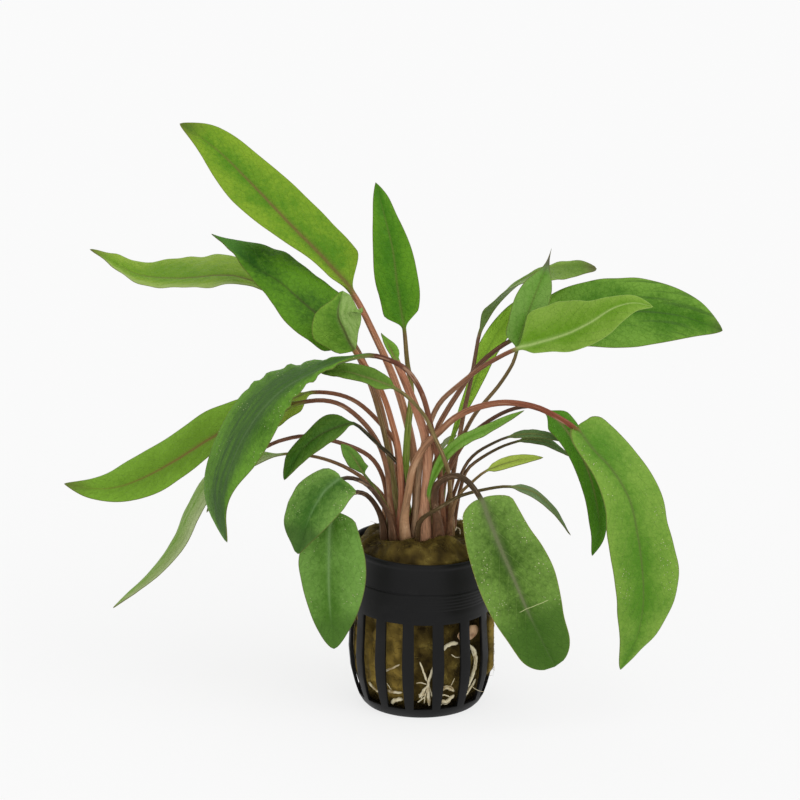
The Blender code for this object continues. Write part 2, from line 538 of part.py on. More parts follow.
def make_rhizome(finish):
    """The knob of rootstock that lies against the basket between two slots, a flattened egg."""
    bm = bmesh.new()
    bmesh.ops.create_uvsphere(bm, u_segments=10, v_segments=6, radius=1.0)
    angle, height = RHIZOME_PLACE
    outward = round_point(1.0, angle, 0.0)
    across = Vector((-outward.y, outward.x, 0.0))
    length, deep, tall = RHIZOME_SIZE
    radius = inner_radius(height) - ROOT_INSET
    for vertex in bm.verts:
        x, y, z = vertex.co
        bend = radius - (x * length / 2) ** 2 / (2 * radius)
        vertex.co = outward * (bend + y * deep / 2) + across * (x * length / 2)
        vertex.co.z = height + z * tall / 2
    return add_object("rhizome", bm, finish)


def build():
    """Makes every piece of the potted plant."""
    make_pot(FINISHES["pot"])
    make_wool(FINISHES["wool"])
    make_rhizome(FINISHES["rhizome"])
    for name, (places, thick) in ROOTS.items():
        route = [round_point(inner_radius(height) - ROOT_INSET, angle, height) for angle, height in places]
        tube(name, route, (thick[0] / 2, thick[1] / 2), ROOT_SIDES, FINISHES["root"])
    for leaf in LEAVES:
        make_leaf(leaf)


build()
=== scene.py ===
# %% [markdown]
# # A potted cryptocoryne
#
# This water plant stands in the slotted net pot in which it was raised. Thirty leaves grow on bare
# stalks from a plug of rock wool, and pale roots show behind the slots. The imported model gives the
# plain form and the true sizes, in metres, with the middle of the pot's foot at the origin. Each
# piece of it is dressed here: the leaves get their ruffles, midribs and veins, the pot its rim and
# fine rings, the plug its lumps and fibres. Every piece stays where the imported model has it, except
# that a few stalks and blades stand one to three millimetres aside, closer to the real plant.

# %% Load the frame
import math
from collections import namedtuple

import bpy
import numpy as np
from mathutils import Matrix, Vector


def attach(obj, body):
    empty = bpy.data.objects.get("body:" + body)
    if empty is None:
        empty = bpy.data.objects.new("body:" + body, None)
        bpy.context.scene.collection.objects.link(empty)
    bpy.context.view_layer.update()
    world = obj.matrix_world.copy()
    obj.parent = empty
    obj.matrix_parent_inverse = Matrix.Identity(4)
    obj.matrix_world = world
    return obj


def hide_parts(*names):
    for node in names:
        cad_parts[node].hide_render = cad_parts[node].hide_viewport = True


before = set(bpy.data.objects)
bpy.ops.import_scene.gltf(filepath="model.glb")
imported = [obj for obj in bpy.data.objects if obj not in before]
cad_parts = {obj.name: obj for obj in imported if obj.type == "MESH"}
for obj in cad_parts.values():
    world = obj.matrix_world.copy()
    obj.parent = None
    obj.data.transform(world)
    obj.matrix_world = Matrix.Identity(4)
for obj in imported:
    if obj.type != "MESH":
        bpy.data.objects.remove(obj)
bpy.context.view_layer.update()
MM = 0.001

# %% [markdown]
# ## The studio
#
# The picture is a plain studio shot: a long lens that looks down a little, and light from all
# round, so that shadows stay faint. A flat floor and a pale sky of the same tone give the seamless
# backdrop. One broad sun from the upper right adds the soft shade on the leaves and the faint shadow
# towards the lower left. A wide angle on the sun makes its shadows soft. The backdrop is lit on its
# own in such a studio, so most of the floor's brightness is a glow of its own and only the rest can
# be shaded by the plant.

# %% Camera, floor and light
CAMERA_PLACE = (-0.0075, -1.4146, 0.5454)
CAMERA_PITCH = 17.1        # degrees down
CAMERA_LENS = 191.9        # millimetres, on Blender's 36 mm sensor
SKY = 0.86
SUN_STRENGTH = 1.0
SUN_TURN = (38.0, 12.0, 32.0)
SUN_WIDTH = 55.0           # degrees across, the wider the softer
FLOOR_GLOW, FLOOR_TONE = 0.77, 0.17
FLOOR_SIZE, FLOOR_GAP = 16, 0.0001      # metres; the gap keeps the floor clear of the pot's foot

bpy.ops.object.camera_add(location=CAMERA_PLACE, rotation=(math.radians(90 - CAMERA_PITCH), 0, 0))
camera = bpy.context.object
camera.data.lens = CAMERA_LENS
bpy.context.scene.camera = camera
bpy.context.scene.view_settings.view_transform = "Standard"

world = bpy.data.worlds.new("studio")
world.use_nodes = True
world.node_tree.nodes["Background"].inputs["Color"].default_value = (SKY, SKY, SKY, 1)
bpy.context.scene.world = world

bpy.ops.object.light_add(type="SUN", rotation=[math.radians(turn) for turn in SUN_TURN])
sun = bpy.context.object
sun.data.energy = SUN_STRENGTH
sun.data.angle = math.radians(SUN_WIDTH)

bpy.ops.mesh.primitive_plane_add(size=FLOOR_SIZE, location=(0, 0, -FLOOR_GAP))
floor = bpy.context.object
floor.name = "floor"
paper = bpy.data.materials.new("white_paper")
paper.use_nodes = True
paper_look = paper.node_tree.nodes["Principled BSDF"].inputs
paper_look["Base Color"].default_value = (FLOOR_TONE, FLOOR_TONE, FLOOR_TONE, 1)
paper_look["Emission Color"].default_value = (1, 1, 1, 1)
paper_look["Emission Strength"].default_value = FLOOR_GLOW
paper_look["Roughness"].default_value = 0.9
paper_look["Specular IOR Level"].default_value = 0.0
floor.data.materials.append(paper)
print("camera, sun and floor are in place")

# %% [markdown]
# ## Helpers for materials
#
# Every finish here is a small tree of nodes. Adding a node by hand takes three steps: make it, set
# its choices, fill its sockets. `add_node` does all three. A value given as a socket is linked, any
# other value is typed in. Colours are written as an eye reads them on a screen and turned into the
# linear values that a shader needs.

# %% Node helpers
def screen(red, green, blue):
    """A colour read on a screen, 0 to 255, as a shader's linear colour."""
    parts = [c / 255 for c in (red, green, blue)]
    return (*[c / 12.92 if c <= 0.04045 else ((c + 0.055) / 1.055) ** 2.4 for c in parts], 1.0)


def add_node(tree, kind, inputs=None, **choices):
    """Adds a node, sets its choices and fills its sockets; returns the node."""
    node = tree.nodes.new(kind)
    for key, value in choices.items():
        setattr(node, key, value)
    for key, value in (inputs or {}).items():
        if isinstance(value, bpy.types.NodeSocket):
            tree.links.new(value, node.inputs[key])
        else:
            node.inputs[key].default_value = value
    return node


def calc(tree, operation, a, b=0.0, clamp=False):
    """One sum, product or other operation on two numbers."""
    return add_node(tree, "ShaderNodeMath", {0: a, 1: b}, operation=operation, use_clamp=clamp).outputs[0]


def times(tree, a, b):
    """The product of two numbers."""
    return calc(tree, "MULTIPLY", a, b)


def scaled(tree, value, factor, offset):
    """A number times a factor, plus an offset."""
    numbers = {0: value, 1: factor, 2: offset}
    return add_node(tree, "ShaderNodeMath", numbers, operation="MULTIPLY_ADD").outputs[0]


def fade(tree, value, low, high, start=0.0, end=1.0):
    """Goes smoothly from start to end while value goes from low to high."""
    return add_node(tree, "ShaderNodeMapRange", {0: value, 1: low, 2: high, 3: start, 4: end},
                    interpolation_type="SMOOTHSTEP").outputs[0]


def blend(tree, share, a, b):
    """Mixes two colours."""
    return add_node(tree, "ShaderNodeMix", {0: share, 6: a, 7: b}, data_type="RGBA").outputs[2]


def attribute(tree, name):
    """Reads a number that is stored on a piece's points."""
    return add_node(tree, "ShaderNodeAttribute", attribute_name=name).outputs["Fac"]


def noise(tree, scale, detail=3.0, place=None, rough=0.5):
    """Cloudy noise on the piece's own coordinates, about 0.3 to 0.7."""
    place = place or add_node(tree, "ShaderNodeTexCoord").outputs["Object"]
    return add_node(tree, "ShaderNodeTexNoise",
                    {"Vector": place, "Scale": scale, "Detail": detail, "Roughness": rough}).outputs[0]


print("a mid grey of 128 on a screen is", round(screen(128, 128, 128)[0], 3), "for a shader")

# %% [markdown]
# ## Groups and finishes
#
# One leaf's skin differs from the next only in its tones, and the same goes for the roots. So each
# kind of surface is one node group with its tones as inputs. It could be copied node by node into
# every material, but a group is made once and stays the same for all. A group gives back a colour, a
# roughness and a height, and `finish_from` makes a material of them round its own Principled shader.

# %% Group helpers
def new_group(name, numbers, colours):
    """A shader node group with number and colour inputs; returns the tree and its input sockets."""
    tree = bpy.data.node_groups.new(name, "ShaderNodeTree")
    for label in colours:
        tree.interface.new_socket(label, in_out="INPUT", socket_type="NodeSocketColor")
    for label in numbers:
        tree.interface.new_socket(label, in_out="INPUT", socket_type="NodeSocketFloat")
    tree.interface.new_socket("Color", in_out="OUTPUT", socket_type="NodeSocketColor")
    tree.interface.new_socket("Roughness", in_out="OUTPUT", socket_type="NodeSocketFloat")
    tree.interface.new_socket("Height", in_out="OUTPUT", socket_type="NodeSocketFloat")
    return tree, tree.nodes.new("NodeGroupInput").outputs


def finish_group(tree, colour, roughness, height):
    """Connects a group's results."""
    add_node(tree, "NodeGroupOutput", {"Color": colour, "Roughness": roughness, "Height": height})
    print("node group", tree.name, "has", len(tree.nodes), "nodes")


def finish_from(name, group, values, bump, **constants):
    """A material that takes colour, roughness and relief from a node group."""
    made = bpy.data.materials.new(name)
    made.use_nodes = True
    tree = made.node_tree
    shader = tree.nodes["Principled BSDF"]
    source = add_node(tree, "ShaderNodeGroup", node_tree=group)
    for key, value in values.items():
        source.inputs[key].default_value = value
    relief = add_node(tree, "ShaderNodeBump", {"Height": source.outputs["Height"], "Distance": bump})
    tree.links.new(source.outputs["Color"], shader.inputs["Base Color"])
    tree.links.new(source.outputs["Roughness"], shader.inputs["Roughness"])
    tree.links.new(relief.outputs[0], shader.inputs["Normal"])
    for key, value in constants.items():
        shader.inputs[key.replace("_", " ")].default_value = value
    return made

# %% [markdown]
# ## Helpers for shapes
#
# Most of this plant is long and thin: stalks, blades, roots. By hand one would roll a flat grid into
# a tube, weld its seam and pull each ring into place. `roll` does that. The grid is added with
# Blender's own operator, its points are put on the rings, and the seam and the pointed end are welded
# by Merge by Distance. Holes are filled, and the normals are turned outwards.

# %% Shape helpers
WELD_GAP = 0.000002        # metres; points closer than this become one
SMOOTH_ANGLE = 60          # degrees; sharper edges than this stay crisp


def clear_selection():
    """Leaves edit mode and deselects everything, because operators act on all that is selected."""
    if bpy.context.mode != "OBJECT":
        bpy.ops.object.mode_set(mode="OBJECT")
    bpy.ops.object.select_all(action="DESELECT")


def in_edit_mode(piece, *steps):
    """Selects all of a piece in edit mode and runs each step."""
    clear_selection()
    bpy.context.view_layer.objects.active = piece
    piece.select_set(True)
    bpy.ops.object.mode_set(mode="EDIT")
    bpy.ops.mesh.select_all(action="SELECT")
    for step in steps:
        step()
        bpy.ops.mesh.select_all(action="SELECT")
    bpy.ops.object.mode_set(mode="OBJECT")


def weld():
    """Merges the points that lie on each other."""
    bpy.ops.mesh.remove_doubles(threshold=WELD_GAP)


def fill():
    """Closes every open end with a face."""
    bpy.ops.mesh.fill_holes(sides=0)


def face_out():
    """Turns all faces outwards."""
    bpy.ops.mesh.normals_make_consistent(inside=False)


def roll(name, rings, values):
    """A tube from rings of points, shape (along, around + 1, 3); values are numbers for its points."""
    along, around = rings.shape[0] - 1, rings.shape[1] - 1
    clear_selection()
    bpy.ops.mesh.primitive_grid_add(x_subdivisions=around, y_subdivisions=along, size=0.1)
    piece = bpy.context.object
    piece.name = piece.data.name = name
    piece.data.vertices.foreach_set("co", (rings * MM).astype(np.float32).ravel())
    for key, numbers in values.items():
        store = piece.data.attributes.new(key, "FLOAT", "POINT")
        store.data.foreach_set("value", numbers.astype(np.float32).ravel())
    in_edit_mode(piece, weld, fill, face_out)
    bpy.ops.object.shade_smooth_by_angle(angle=math.radians(SMOOTH_ANGLE))
    return piece


def finish_piece(piece, finish, *nodes):
    """Gives a piece its material and body, and hides the CAD nodes that it stands for."""
    piece.data.materials.clear()
    piece.data.materials.append(finish)
    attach(piece, "root")
    if nodes:
        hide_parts(*nodes)
    return piece


# %% [markdown]
# ## Routes
#
# A leaf or a root follows a smooth curve through a few given points: a stalk rises,
# arches and hands over to its blade. The points, in millimetres, are close to the imported model's.
# A Bezier curve with a bevel could do it too, but a blade needs its own points across, so the curve is
# worked out here. `smooth_route` draws it, and `stations_on` finds places along it.

# %% Route helpers
SPAN_STEPS = 24            # points between two route points when a curve is drawn
SIGHT = 0.4                # millimetres before and behind a place that give its direction


def smooth_route(points):
    """A smooth curve through the route's points, as a dense array, and each point's place in it."""
    knots = [Vector(p) for p in points]
    ends = [knots[0] * 2 - knots[1]] + knots + [knots[-1] * 2 - knots[-2]]
    dense, places = [], []
    for before, start, end, after in zip(ends, ends[1:], ends[2:], ends[3:]):
        places.append(len(dense))
        scale = (end - start).length
        leave = (end - before) / ((start - before).length + scale) * scale
        arrive = (after - start) / (scale + (after - end).length) * scale
        for step in range(SPAN_STEPS):
            t = step / SPAN_STEPS
            dense.append(start * (2 * t**3 - 3 * t**2 + 1) + leave * (t**3 - 2 * t**2 + t)
                         + end * (3 * t**2 - 2 * t**3) + arrive * (t**3 - t**2))
    places.append(len(dense))
    dense.append(knots[-1])
    return np.array(dense), places


def lengths_along(dense):
    """The distance along a curve to each of its points."""
    return np.concatenate([[0.0], np.cumsum(np.linalg.norm(np.diff(dense, axis=0), axis=1))])


def stations_on(dense, distances):
    """Points and directions of a curve at some distances along it."""
    lengths = lengths_along(dense)
    centres = np.stack([np.interp(distances, lengths, dense[:, axis]) for axis in range(3)], axis=1)
    ahead = np.stack([np.interp(distances + SIGHT, lengths, dense[:, axis]) for axis in range(3)], axis=1)
    back = np.stack([np.interp(distances - SIGHT, lengths, dense[:, axis]) for axis in range(3)], axis=1)
    return centres, unit(ahead - back)


def unit(vectors):
    """Vectors of length one."""
    return vectors / np.maximum(np.linalg.norm(vectors, axis=-1, keepdims=True), 1e-9)


def step_up(value, low, high):
    """Goes smoothly from 0 to 1 while value goes from low to high."""
    share = np.clip((value - low) / (high - low), 0.0, 1.0)
    return share * share * (3 - 2 * share)


test_curve, _ = smooth_route([(0, 0, 0), (3, 0, 8), (10, 0, 12)])
print("a curve through three points has", len(test_curve), "points and is",
      round(float(lengths_along(test_curve)[-1]), 1), "mm long")

# %% [markdown]
# ## What a leaf is told
#
# A leaf is one piece from the foot of its stalk to the tip of its blade. All thirty follow one recipe,
# and each has a row of numbers of its own, in millimetres and degrees:
#
# - `foot` is where it leaves the wool, `stalk` and `blade` are points on its way, and `facing` is the
#   way that its upper side looks, from the base of the blade to its tip.
# - `width` is its largest width, `widest` the share of the blade where that is, `taper` how blunt the
#   tip is, and `rise` how steeply the base widens. `lobe` is how far the base's corners reach back.
# - `sides` says how much wider or narrower each side is than the plain outline, at seven places.
# - `fold` lifts the two halves, `cup` bends the edges down, and `ripple` gives the height of the waves
#   at the edge, their number, and the share of the blade at which they end.
# - `thick` is the thickness of the stalk at its foot and at its top.

# %% Leaf rows and outlines
Leaf = namedtuple(
    "Leaf", "name foot stalk blade facing width widest taper sides fold thick ripple cup lobe rise",
    defaults=(0.40, 0.85, (1.0, 1.0), 8, (2.4, 1.5), (0.1, 3, 1), 0.10, 0.0, 1.0))

OUTLINE_AT = (0.06, 0.2, 0.35, 0.5, 0.65, 0.8, 0.93)    # the places of the shares in `sides`
NEAR_BY = (-0.06, -0.03, 0, 0.03, 0.06)                 # averaging over these rounds the corners off


def blade_share(t, leaf):
    """Half width of the blade as a share of its largest, from its base at 0 to its tip at 1."""
    t = np.clip(t, 0.0, 1.0)
    rise = leaf.taper * leaf.widest / (1.0 - leaf.widest) * leaf.rise
    body = (t / leaf.widest) ** rise * ((1.0 - t) / (1.0 - leaf.widest)) ** leaf.taper
    peak = rise / (rise + leaf.taper)
    top = (peak / leaf.widest) ** rise * ((1.0 - peak) / (1.0 - leaf.widest)) ** leaf.taper
    return body / top


def own_outline(t, shares):
    """How much wider or narrower one side of a leaf is than the plain outline, along the blade."""
    if np.isscalar(shares):
        return np.full_like(t, shares)
    return np.mean([np.interp(t + near, OUTLINE_AT, shares) for near in NEAR_BY], axis=0)


def upper_side(leaf, t, centres, along):
    """The way the upper side looks at every ring; a stalk carries its blade's upper side down."""
    views = unit(np.array(leaf.facing, float))
    places = np.clip(t, 0.0, 1.0) * (len(views) - 1)
    faces = np.stack([np.interp(places, range(len(views)), views[:, axis]) for axis in range(3)], axis=1)
    for k in range(len(t) - 1, -1, -1):
        if t[k] < 0.0:
            faces[k] = faces[k + 1]
        faces[k] -= along[k] * faces[k].dot(along[k])
        faces[k] /= np.linalg.norm(faces[k])
    return faces


print("a leaf's row has", len(Leaf._fields), "entries")

# %% [markdown]
# ## The ring across a leaf
#
# Every ring across a leaf has the same number of points. On the stalk the ring is a circle, on the
# blade it is pressed flat, with the upper half on top and the lower half beneath. The blade has what a
# real one shows: a groove over the midrib and a rib below it, a slight fold, edges that curve down,
# ripples that grow towards the edge, and soft swellings between the side veins. These could be
# sculpted, but as sums of a few waves they stay true for every leaf. The numbers that the material
# needs are stored on the points: how far along the leaf a point lies, how far from the midrib and
# from the edge, and whether it is on the upper or the lower side.

# %% The ring of a leaf
AROUND = 40                # faces round a leaf
SKIN = 0.2                 # half thickness of a blade, millimetres
VEIN_PITCH = 7.5           # distance between side veins along the midrib
VEIN_LEAN = 26.0           # how far along the leaf a side vein runs on its way to the edge
VEIN_SWELL = 0.2           # height of the swellings between side veins
GROOVE_DEPTH, GROOVE_WIDTH = 0.30, 0.7
MIDDLE = 1e-6              # a ring point this close to the edge line counts as on it

turn = np.linspace(0.0, 2 * np.pi, AROUND + 1)
ring_cos, ring_sin = np.cos(turn), np.sin(turn)
ring_sin[-1] = ring_sin[0]
across = np.sign(ring_cos) * np.abs(ring_cos) ** 1.5      # -1 to 1, closer together at the midrib


def ripples(leaf, t, seed):
    """The waves of the blade's edge, along the blade; each leaf's seed shifts them."""
    _, waves, until = leaf.ripple
    phase = np.where(across > 0, seed * 1.7, seed * 2.9 + 2.0)
    swing = (np.sin(2 * np.pi * waves * t + phase + 2.2 * np.sin(5 * t + seed)
                    + np.sin(11 * t + 2 * seed))
             + 0.45 * np.sin(2 * np.pi * waves * 1.7 * t + 2.1 * phase)) * step_up(t, 0.02, 0.2)
    return swing * (1 - step_up(t, until - 0.15, until))


def leaf_section(leaf, t, radius, blade_length, seed):
    """Sideways and upward places of every ring's points, and the numbers for the material."""
    flat = step_up(t, 0.0, 0.12)[:, None]
    t = t[:, None]
    radius = radius[:, None]
    wave = leaf.ripple[0]
    swing = ripples(leaf, t, seed)
    side = np.where(across > 0, own_outline(t, leaf.sides[0]), own_outline(t, leaf.sides[1]))
    thinning = radius * (1 - np.clip(t, 0, 1)) ** 0.6
    half = np.maximum(leaf.width / 2 * blade_share(t, leaf) * side * (1 + 0.012 * wave * swing), thinning)
    half = np.where(t >= 1.0, 0.0, half)
    out = half * across
    reach = np.abs(across)
    under = (ring_sin < -MIDDLE) * 1.0
    veins = blade_length * t - VEIN_LEAN * reach ** 1.2 * half / 11.0
    bulge = np.sin(np.pi * np.clip(reach, 0, 1)) ** 0.7
    swelling = VEIN_SWELL * np.cos(2 * np.pi * veins / VEIN_PITCH) * bulge
    rib = radius * (1 - np.clip(t, 0, 1)) ** 0.8
    groove = -GROOVE_DEPTH * np.exp(-(out / GROOVE_WIDTH) ** 2) * (1 - 0.6 * t)
    lower_rib = -(rib * 0.75 + 0.1) * np.exp(-(out / (0.35 + rib * 0.7)) ** 2) * under
    lift = (np.abs(out) * math.tan(math.radians(leaf.fold)) + wave * swing * reach ** 2.5
            - leaf.cup * half * reach ** 2 + swelling * np.minimum(half / 6, 1) + groove + lower_rib)
    lift = lift * (1 - step_up(t, 0.93, 1.0) * 0.7)
    skin = SKIN * np.sqrt(np.clip(1 - reach ** 8, 0, 1)) * np.where(ring_sin >= 0, 1.0, -1.0)
    skin = np.where(np.abs(ring_sin) < MIDDLE, 0.0, skin)
    skin = skin * np.where(t >= 1.0, 0.0, 1.0)
    sideways = radius * ring_cos * (1 - flat) + out * flat
    upward = radius * ring_sin * (1 - flat) + (lift + skin) * flat
    back = -leaf.lobe * reach ** 1.3 * (1 - step_up(t, 0.0, 0.3)) * flat ** 0.5 * (t > 0)
    values = {
        "leaf_side": sideways,
        "leaf_edge": half * (1 - reach),
        "leaf_share": reach + 0 * t,
        "leaf_under": np.where(np.abs(ring_sin) < MIDDLE, 0.5, under) + 0 * t,
        "leaf_vein": veins,
    }
    return sideways, upward, back, values


print("a ring has", AROUND, "faces")

# %% [markdown]
# ## Growing a leaf
#
# The rings are now set along the leaf's curve: far apart on the stalk, close together at the base and
# the tip of the blade, where the outline turns fast. The foot of the stalk is a little thicker and
# goes into the wool, so no gap shows there. `roll` then makes the rings one closed piece.

# %% Grow a leaf
WOOL_TOP, WOOL_CROWN, COLLAR_RADIUS = 62.5, 5.5, 23.0    # the wool's top is a low mound
FOOT_DEPTH = 3.0           # a stalk goes this far into the wool
STALK_STEP = 2.5           # distance between rings
BLADE_STEP = 1.15


def mound(x, y):
    """Height of the wool's top at a place."""
    return WOOL_TOP - WOOL_CROWN * (math.hypot(x, y) / COLLAR_RADIUS) ** 4


def grow_leaf(leaf, number):
    """Builds one leaf as a rolled grid in its final place."""
    foot = (*leaf.foot, mound(*leaf.foot) + 0.3)
    dense, places = smooth_route([foot, *leaf.stalk, *leaf.blade])
    sunk = np.array([foot[0] * 0.93, foot[1] * 0.93, foot[2] - FOOT_DEPTH])
    dense = np.vstack([sunk, dense])
    lengths = lengths_along(dense)
    stalk_length = lengths[places[len(leaf.stalk)] + 1]
    blade_length = lengths[-1] - stalk_length
    stalk = np.linspace(0, stalk_length, math.ceil(stalk_length / STALK_STEP), endpoint=False)
    share = np.linspace(0, 1, math.ceil(blade_length / BLADE_STEP) + 1)
    share = 0.55 * share + 0.45 * (1 - np.cos(np.pi * share)) / 2
    distances = np.concatenate([stalk, stalk_length + blade_length * share])
    t = (distances - stalk_length) / blade_length
    t[-1] = 1.0
    up_stalk = np.minimum(distances / stalk_length, 1.0)
    centres, along = stations_on(dense, distances)
    faces = upper_side(leaf, t, centres, along)
    sides = np.cross(along, faces)
    thick_foot, thick_top = leaf.thick
    radius = (thick_foot + (thick_top - thick_foot) * up_stalk) / 2
    radius = radius * (1 + 0.5 * (1 - step_up(distances, 2, 18)))
    sideways, upward, back, values = leaf_section(leaf, t, radius, blade_length, float(number))
    rings = (centres[:, None] + sides[:, None] * sideways[..., None] + faces[:, None] * upward[..., None]
             + along[:, None] * back[..., None])
    run = np.where(t < 0, up_stalk - 1.0, t)
    values["leaf_run"] = run[:, None] + 0 * sideways
    return roll(leaf.name + "_skin", rings, values)


print("the wool's top is", round(mound(0, 0), 1), "mm high in the middle and", round(mound(20, 0), 1),
      "mm near the rim")

# %% [markdown]
# ## The skin of a leaf: two greens
#
# One node group paints all leaves, so that they look like one plant. It reads the numbers that are
# stored on the points: `leaf_run` goes from -1 at the foot of the stalk over 0 at the base of the
# blade to 1 at its tip, `leaf_side` is the distance from the midrib in millimetres, and `leaf_share`
# goes from 0 at the midrib to 1 at the edge. A photograph of a leaf would be the other way, but
# numbers keep the pattern in place from every side. The blade is mottled between a light and a dark
# green by three sizes of noise, and it is darker along the middle.

# %% Leaf skin: greens
leaf_skin, given = new_group(
    "leaf_skin", ["Rib Width", "Rib Reach", "Veins", "Drops", "Bloom From", "Bloom To", "Bloom Edge",
                  "Tip From", "Scratch"],
    ["Light", "Dark", "Under", "Rib", "Margin", "Stalk Top", "Stalk Foot", "Bloom", "Tip"])
run, side, edge, share, under, vein = (
    attribute(leaf_skin, "leaf_" + part) for part in ("run", "side", "edge", "share", "under", "vein"))
off_rib = calc(leaf_skin, "ABSOLUTE", side)
blade = fade(leaf_skin, run, -0.03, 0.03)
leaf_place = add_node(leaf_skin, "ShaderNodeTexCoord").outputs["Object"]


def stretched(across_scale, along_scale, last=0.0):
    """A place to read noise at, drawn out along the leaf."""
    return add_node(leaf_skin, "ShaderNodeCombineXYZ",
                    {0: times(leaf_skin, side, across_scale), 1: times(leaf_skin, run, along_scale),
                     2: last}).outputs[0]


cloud = noise(leaf_skin, 60, 1)
grain = noise(leaf_skin, 900, 4, rough=0.6)
mottle = noise(leaf_skin, 380, 2)
tone = calc(leaf_skin, "ADD", times(leaf_skin, cloud, 0.6), times(leaf_skin, mottle, 0.32))
tone = calc(leaf_skin, "ADD", tone, times(leaf_skin, grain, 0.32))
tone = calc(leaf_skin, "ADD", tone, times(leaf_skin, share, 0.3))
green = blend(leaf_skin, fade(leaf_skin, tone, 0.5, 1.0), given["Dark"], given["Light"])
print("leaf skin: two greens with", len(leaf_skin.nodes), "nodes")

# %% [markdown]
# ## Veins, net and painted crease shade
#
# Side veins run out from the midrib at a low angle, and a fine net of cells lies between them. A
# positive number for Veins draws the side veins paler, as on most leaves. A negative one leaves them
# out and paints soft dark streaks along the outer half of the blade instead, painted shade in its
# creases, as on the large leaf at the right.

# %% Leaf skin: veins
to_vein = calc(leaf_skin, "PINGPONG", vein, VEIN_PITCH / 2)
vein_line = fade(leaf_skin, to_vein, VEIN_PITCH / 2 - 0.5, VEIN_PITCH / 2 - 0.08)
net = add_node(leaf_skin, "ShaderNodeTexVoronoi", {"Vector": leaf_place, "Scale": 560.0},
               feature="DISTANCE_TO_EDGE")
net_line = fade(leaf_skin, net.outputs[0], 0.0, 0.16, 1.0, 0.0)
light_veins = calc(leaf_skin, "MAXIMUM", given["Veins"], 0.0)
vein_mask = times(leaf_skin, times(leaf_skin, vein_line, light_veins), 0.24)
pale = blend(leaf_skin, 0.45, given["Light"], given["Under"])
green = blend(leaf_skin, vein_mask, green, pale)

# painted shade: soft dark streaks along the outer blade, in the Rib tone, stand for the shade in its
# creases
crease_shade = fade(leaf_skin, noise(leaf_skin, 1.5, 2, stretched(0.4, 1.4)), 0.54, 0.66)
painted_crease_shade = calc(leaf_skin, "MAXIMUM", times(leaf_skin, given["Veins"], -1.0), 0.0)
painted_crease_shade = times(leaf_skin, painted_crease_shade, fade(leaf_skin, run, 0.4, 0.65, 0.0, 0.62))
green = blend(leaf_skin, times(leaf_skin, crease_shade, painted_crease_shade), green, given["Rib"])
green = blend(leaf_skin, times(leaf_skin, net_line, 0.15), green, given["Dark"])
print("leaf skin: veins, net and creases, now", len(leaf_skin.nodes), "nodes")

# %% [markdown]
# ## Underside and painted sheen
#
# The lower side is paler and greyer, with its veins as dark lines. A painted sheen is a second tone
# that lies over one half of some leaves: on some a greyish shine, on others the paler side of a blade
# turned to the light, painted into the colour. It comes in streaks along the leaf and grows weaker
# towards the edge.

# %% Leaf skin: underside and painted sheen
below = blend(leaf_skin, times(leaf_skin, vein_line, 0.4), given["Under"], given["Dark"])
green = blend(leaf_skin, times(leaf_skin, under, 0.85), green, below)
across_blade = times(leaf_skin, calc(leaf_skin, "SIGN", side), share)
across_blade = calc(leaf_skin, "ADD", across_blade, times(leaf_skin, cloud, 0.3))
sheen_side = add_node(leaf_skin, "ShaderNodeMapRange", {0: across_blade, 1: given["Bloom From"],
                                                    2: given["Bloom To"]}).outputs[0]
patchy = fade(leaf_skin, noise(leaf_skin, 1.0, 3, stretched(0.9, 5.0), rough=0.6), 0.35, 0.6, 0.5, 0.97)
at_edge = add_node(leaf_skin, "ShaderNodeMapRange", {0: share, 1: 0.4, 2: 0.9, 3: 1.0,
                                                    4: given["Bloom Edge"]}).outputs[0]
painted_sheen_mask = times(leaf_skin, sheen_side, times(leaf_skin, patchy, at_edge))
# painted sheen: the shine and the lit half of some blades, laid over the greens as a colour
green = blend(leaf_skin, painted_sheen_mask, green, given["Bloom"])
print("leaf skin: underside and bloom, now", len(leaf_skin.nodes), "nodes")

# %% [markdown]
# ## Midrib, tip and edge
#
# The midrib is a line that narrows to the tip and fades out at its reach, with a soft halo. On some
# leaves the tip has gone brown or darker, on the upper side above all. A thin brown line follows the
# edge.

# %% Leaf skin: midrib, tip and edge
RIB_END = 0.1              # millimetres, half width of the midrib at the tip
ahead = calc(leaf_skin, "MAXIMUM", calc(leaf_skin, "SUBTRACT", 1.0, run), 0.0)
half_width = times(leaf_skin, given["Rib Width"], 0.5)
rib_half = times(leaf_skin, calc(leaf_skin, "POWER", ahead, 0.9), half_width)
near_rib = calc(leaf_skin, "DIVIDE", off_rib, calc(leaf_skin, "ADD", rib_half, RIB_END))
reach_end = calc(leaf_skin, "SUBTRACT", given["Rib Reach"], 0.3)
past_reach = calc(leaf_skin, "MULTIPLY", calc(leaf_skin, "SUBTRACT", run, reach_end), 2.2, clamp=True)
lasting = calc(leaf_skin, "SUBTRACT", 1.0, past_reach, clamp=True)
rib_line = times(leaf_skin, fade(leaf_skin, near_rib, 0.2, 1.35, 1.0, 0.0), lasting)
halo = times(leaf_skin, fade(leaf_skin, near_rib, 0.6, 3.2, 0.3, 0.0), lasting)
green = blend(leaf_skin, halo, green, given["Rib"])
green = blend(leaf_skin, times(leaf_skin, rib_line, 0.85), green, given["Rib"])

past_tip = calc(leaf_skin, "ADD", calc(leaf_skin, "SUBTRACT", run, given["Tip From"]),
                times(leaf_skin, cloud, 0.12))
at_tip = times(leaf_skin, fade(leaf_skin, past_tip, 0.05, 0.22),
               fade(leaf_skin, under, 0.0, 1.0, 0.8, 0.15))
green = blend(leaf_skin, at_tip, green, given["Tip"])
margin_line = times(leaf_skin, fade(leaf_skin, edge, 0.05, 0.4, 0.75, 0.0), blade)
green = blend(leaf_skin, margin_line, green, given["Margin"])
print("leaf skin: midrib, tip and edge, now", len(leaf_skin.nodes), "nodes")
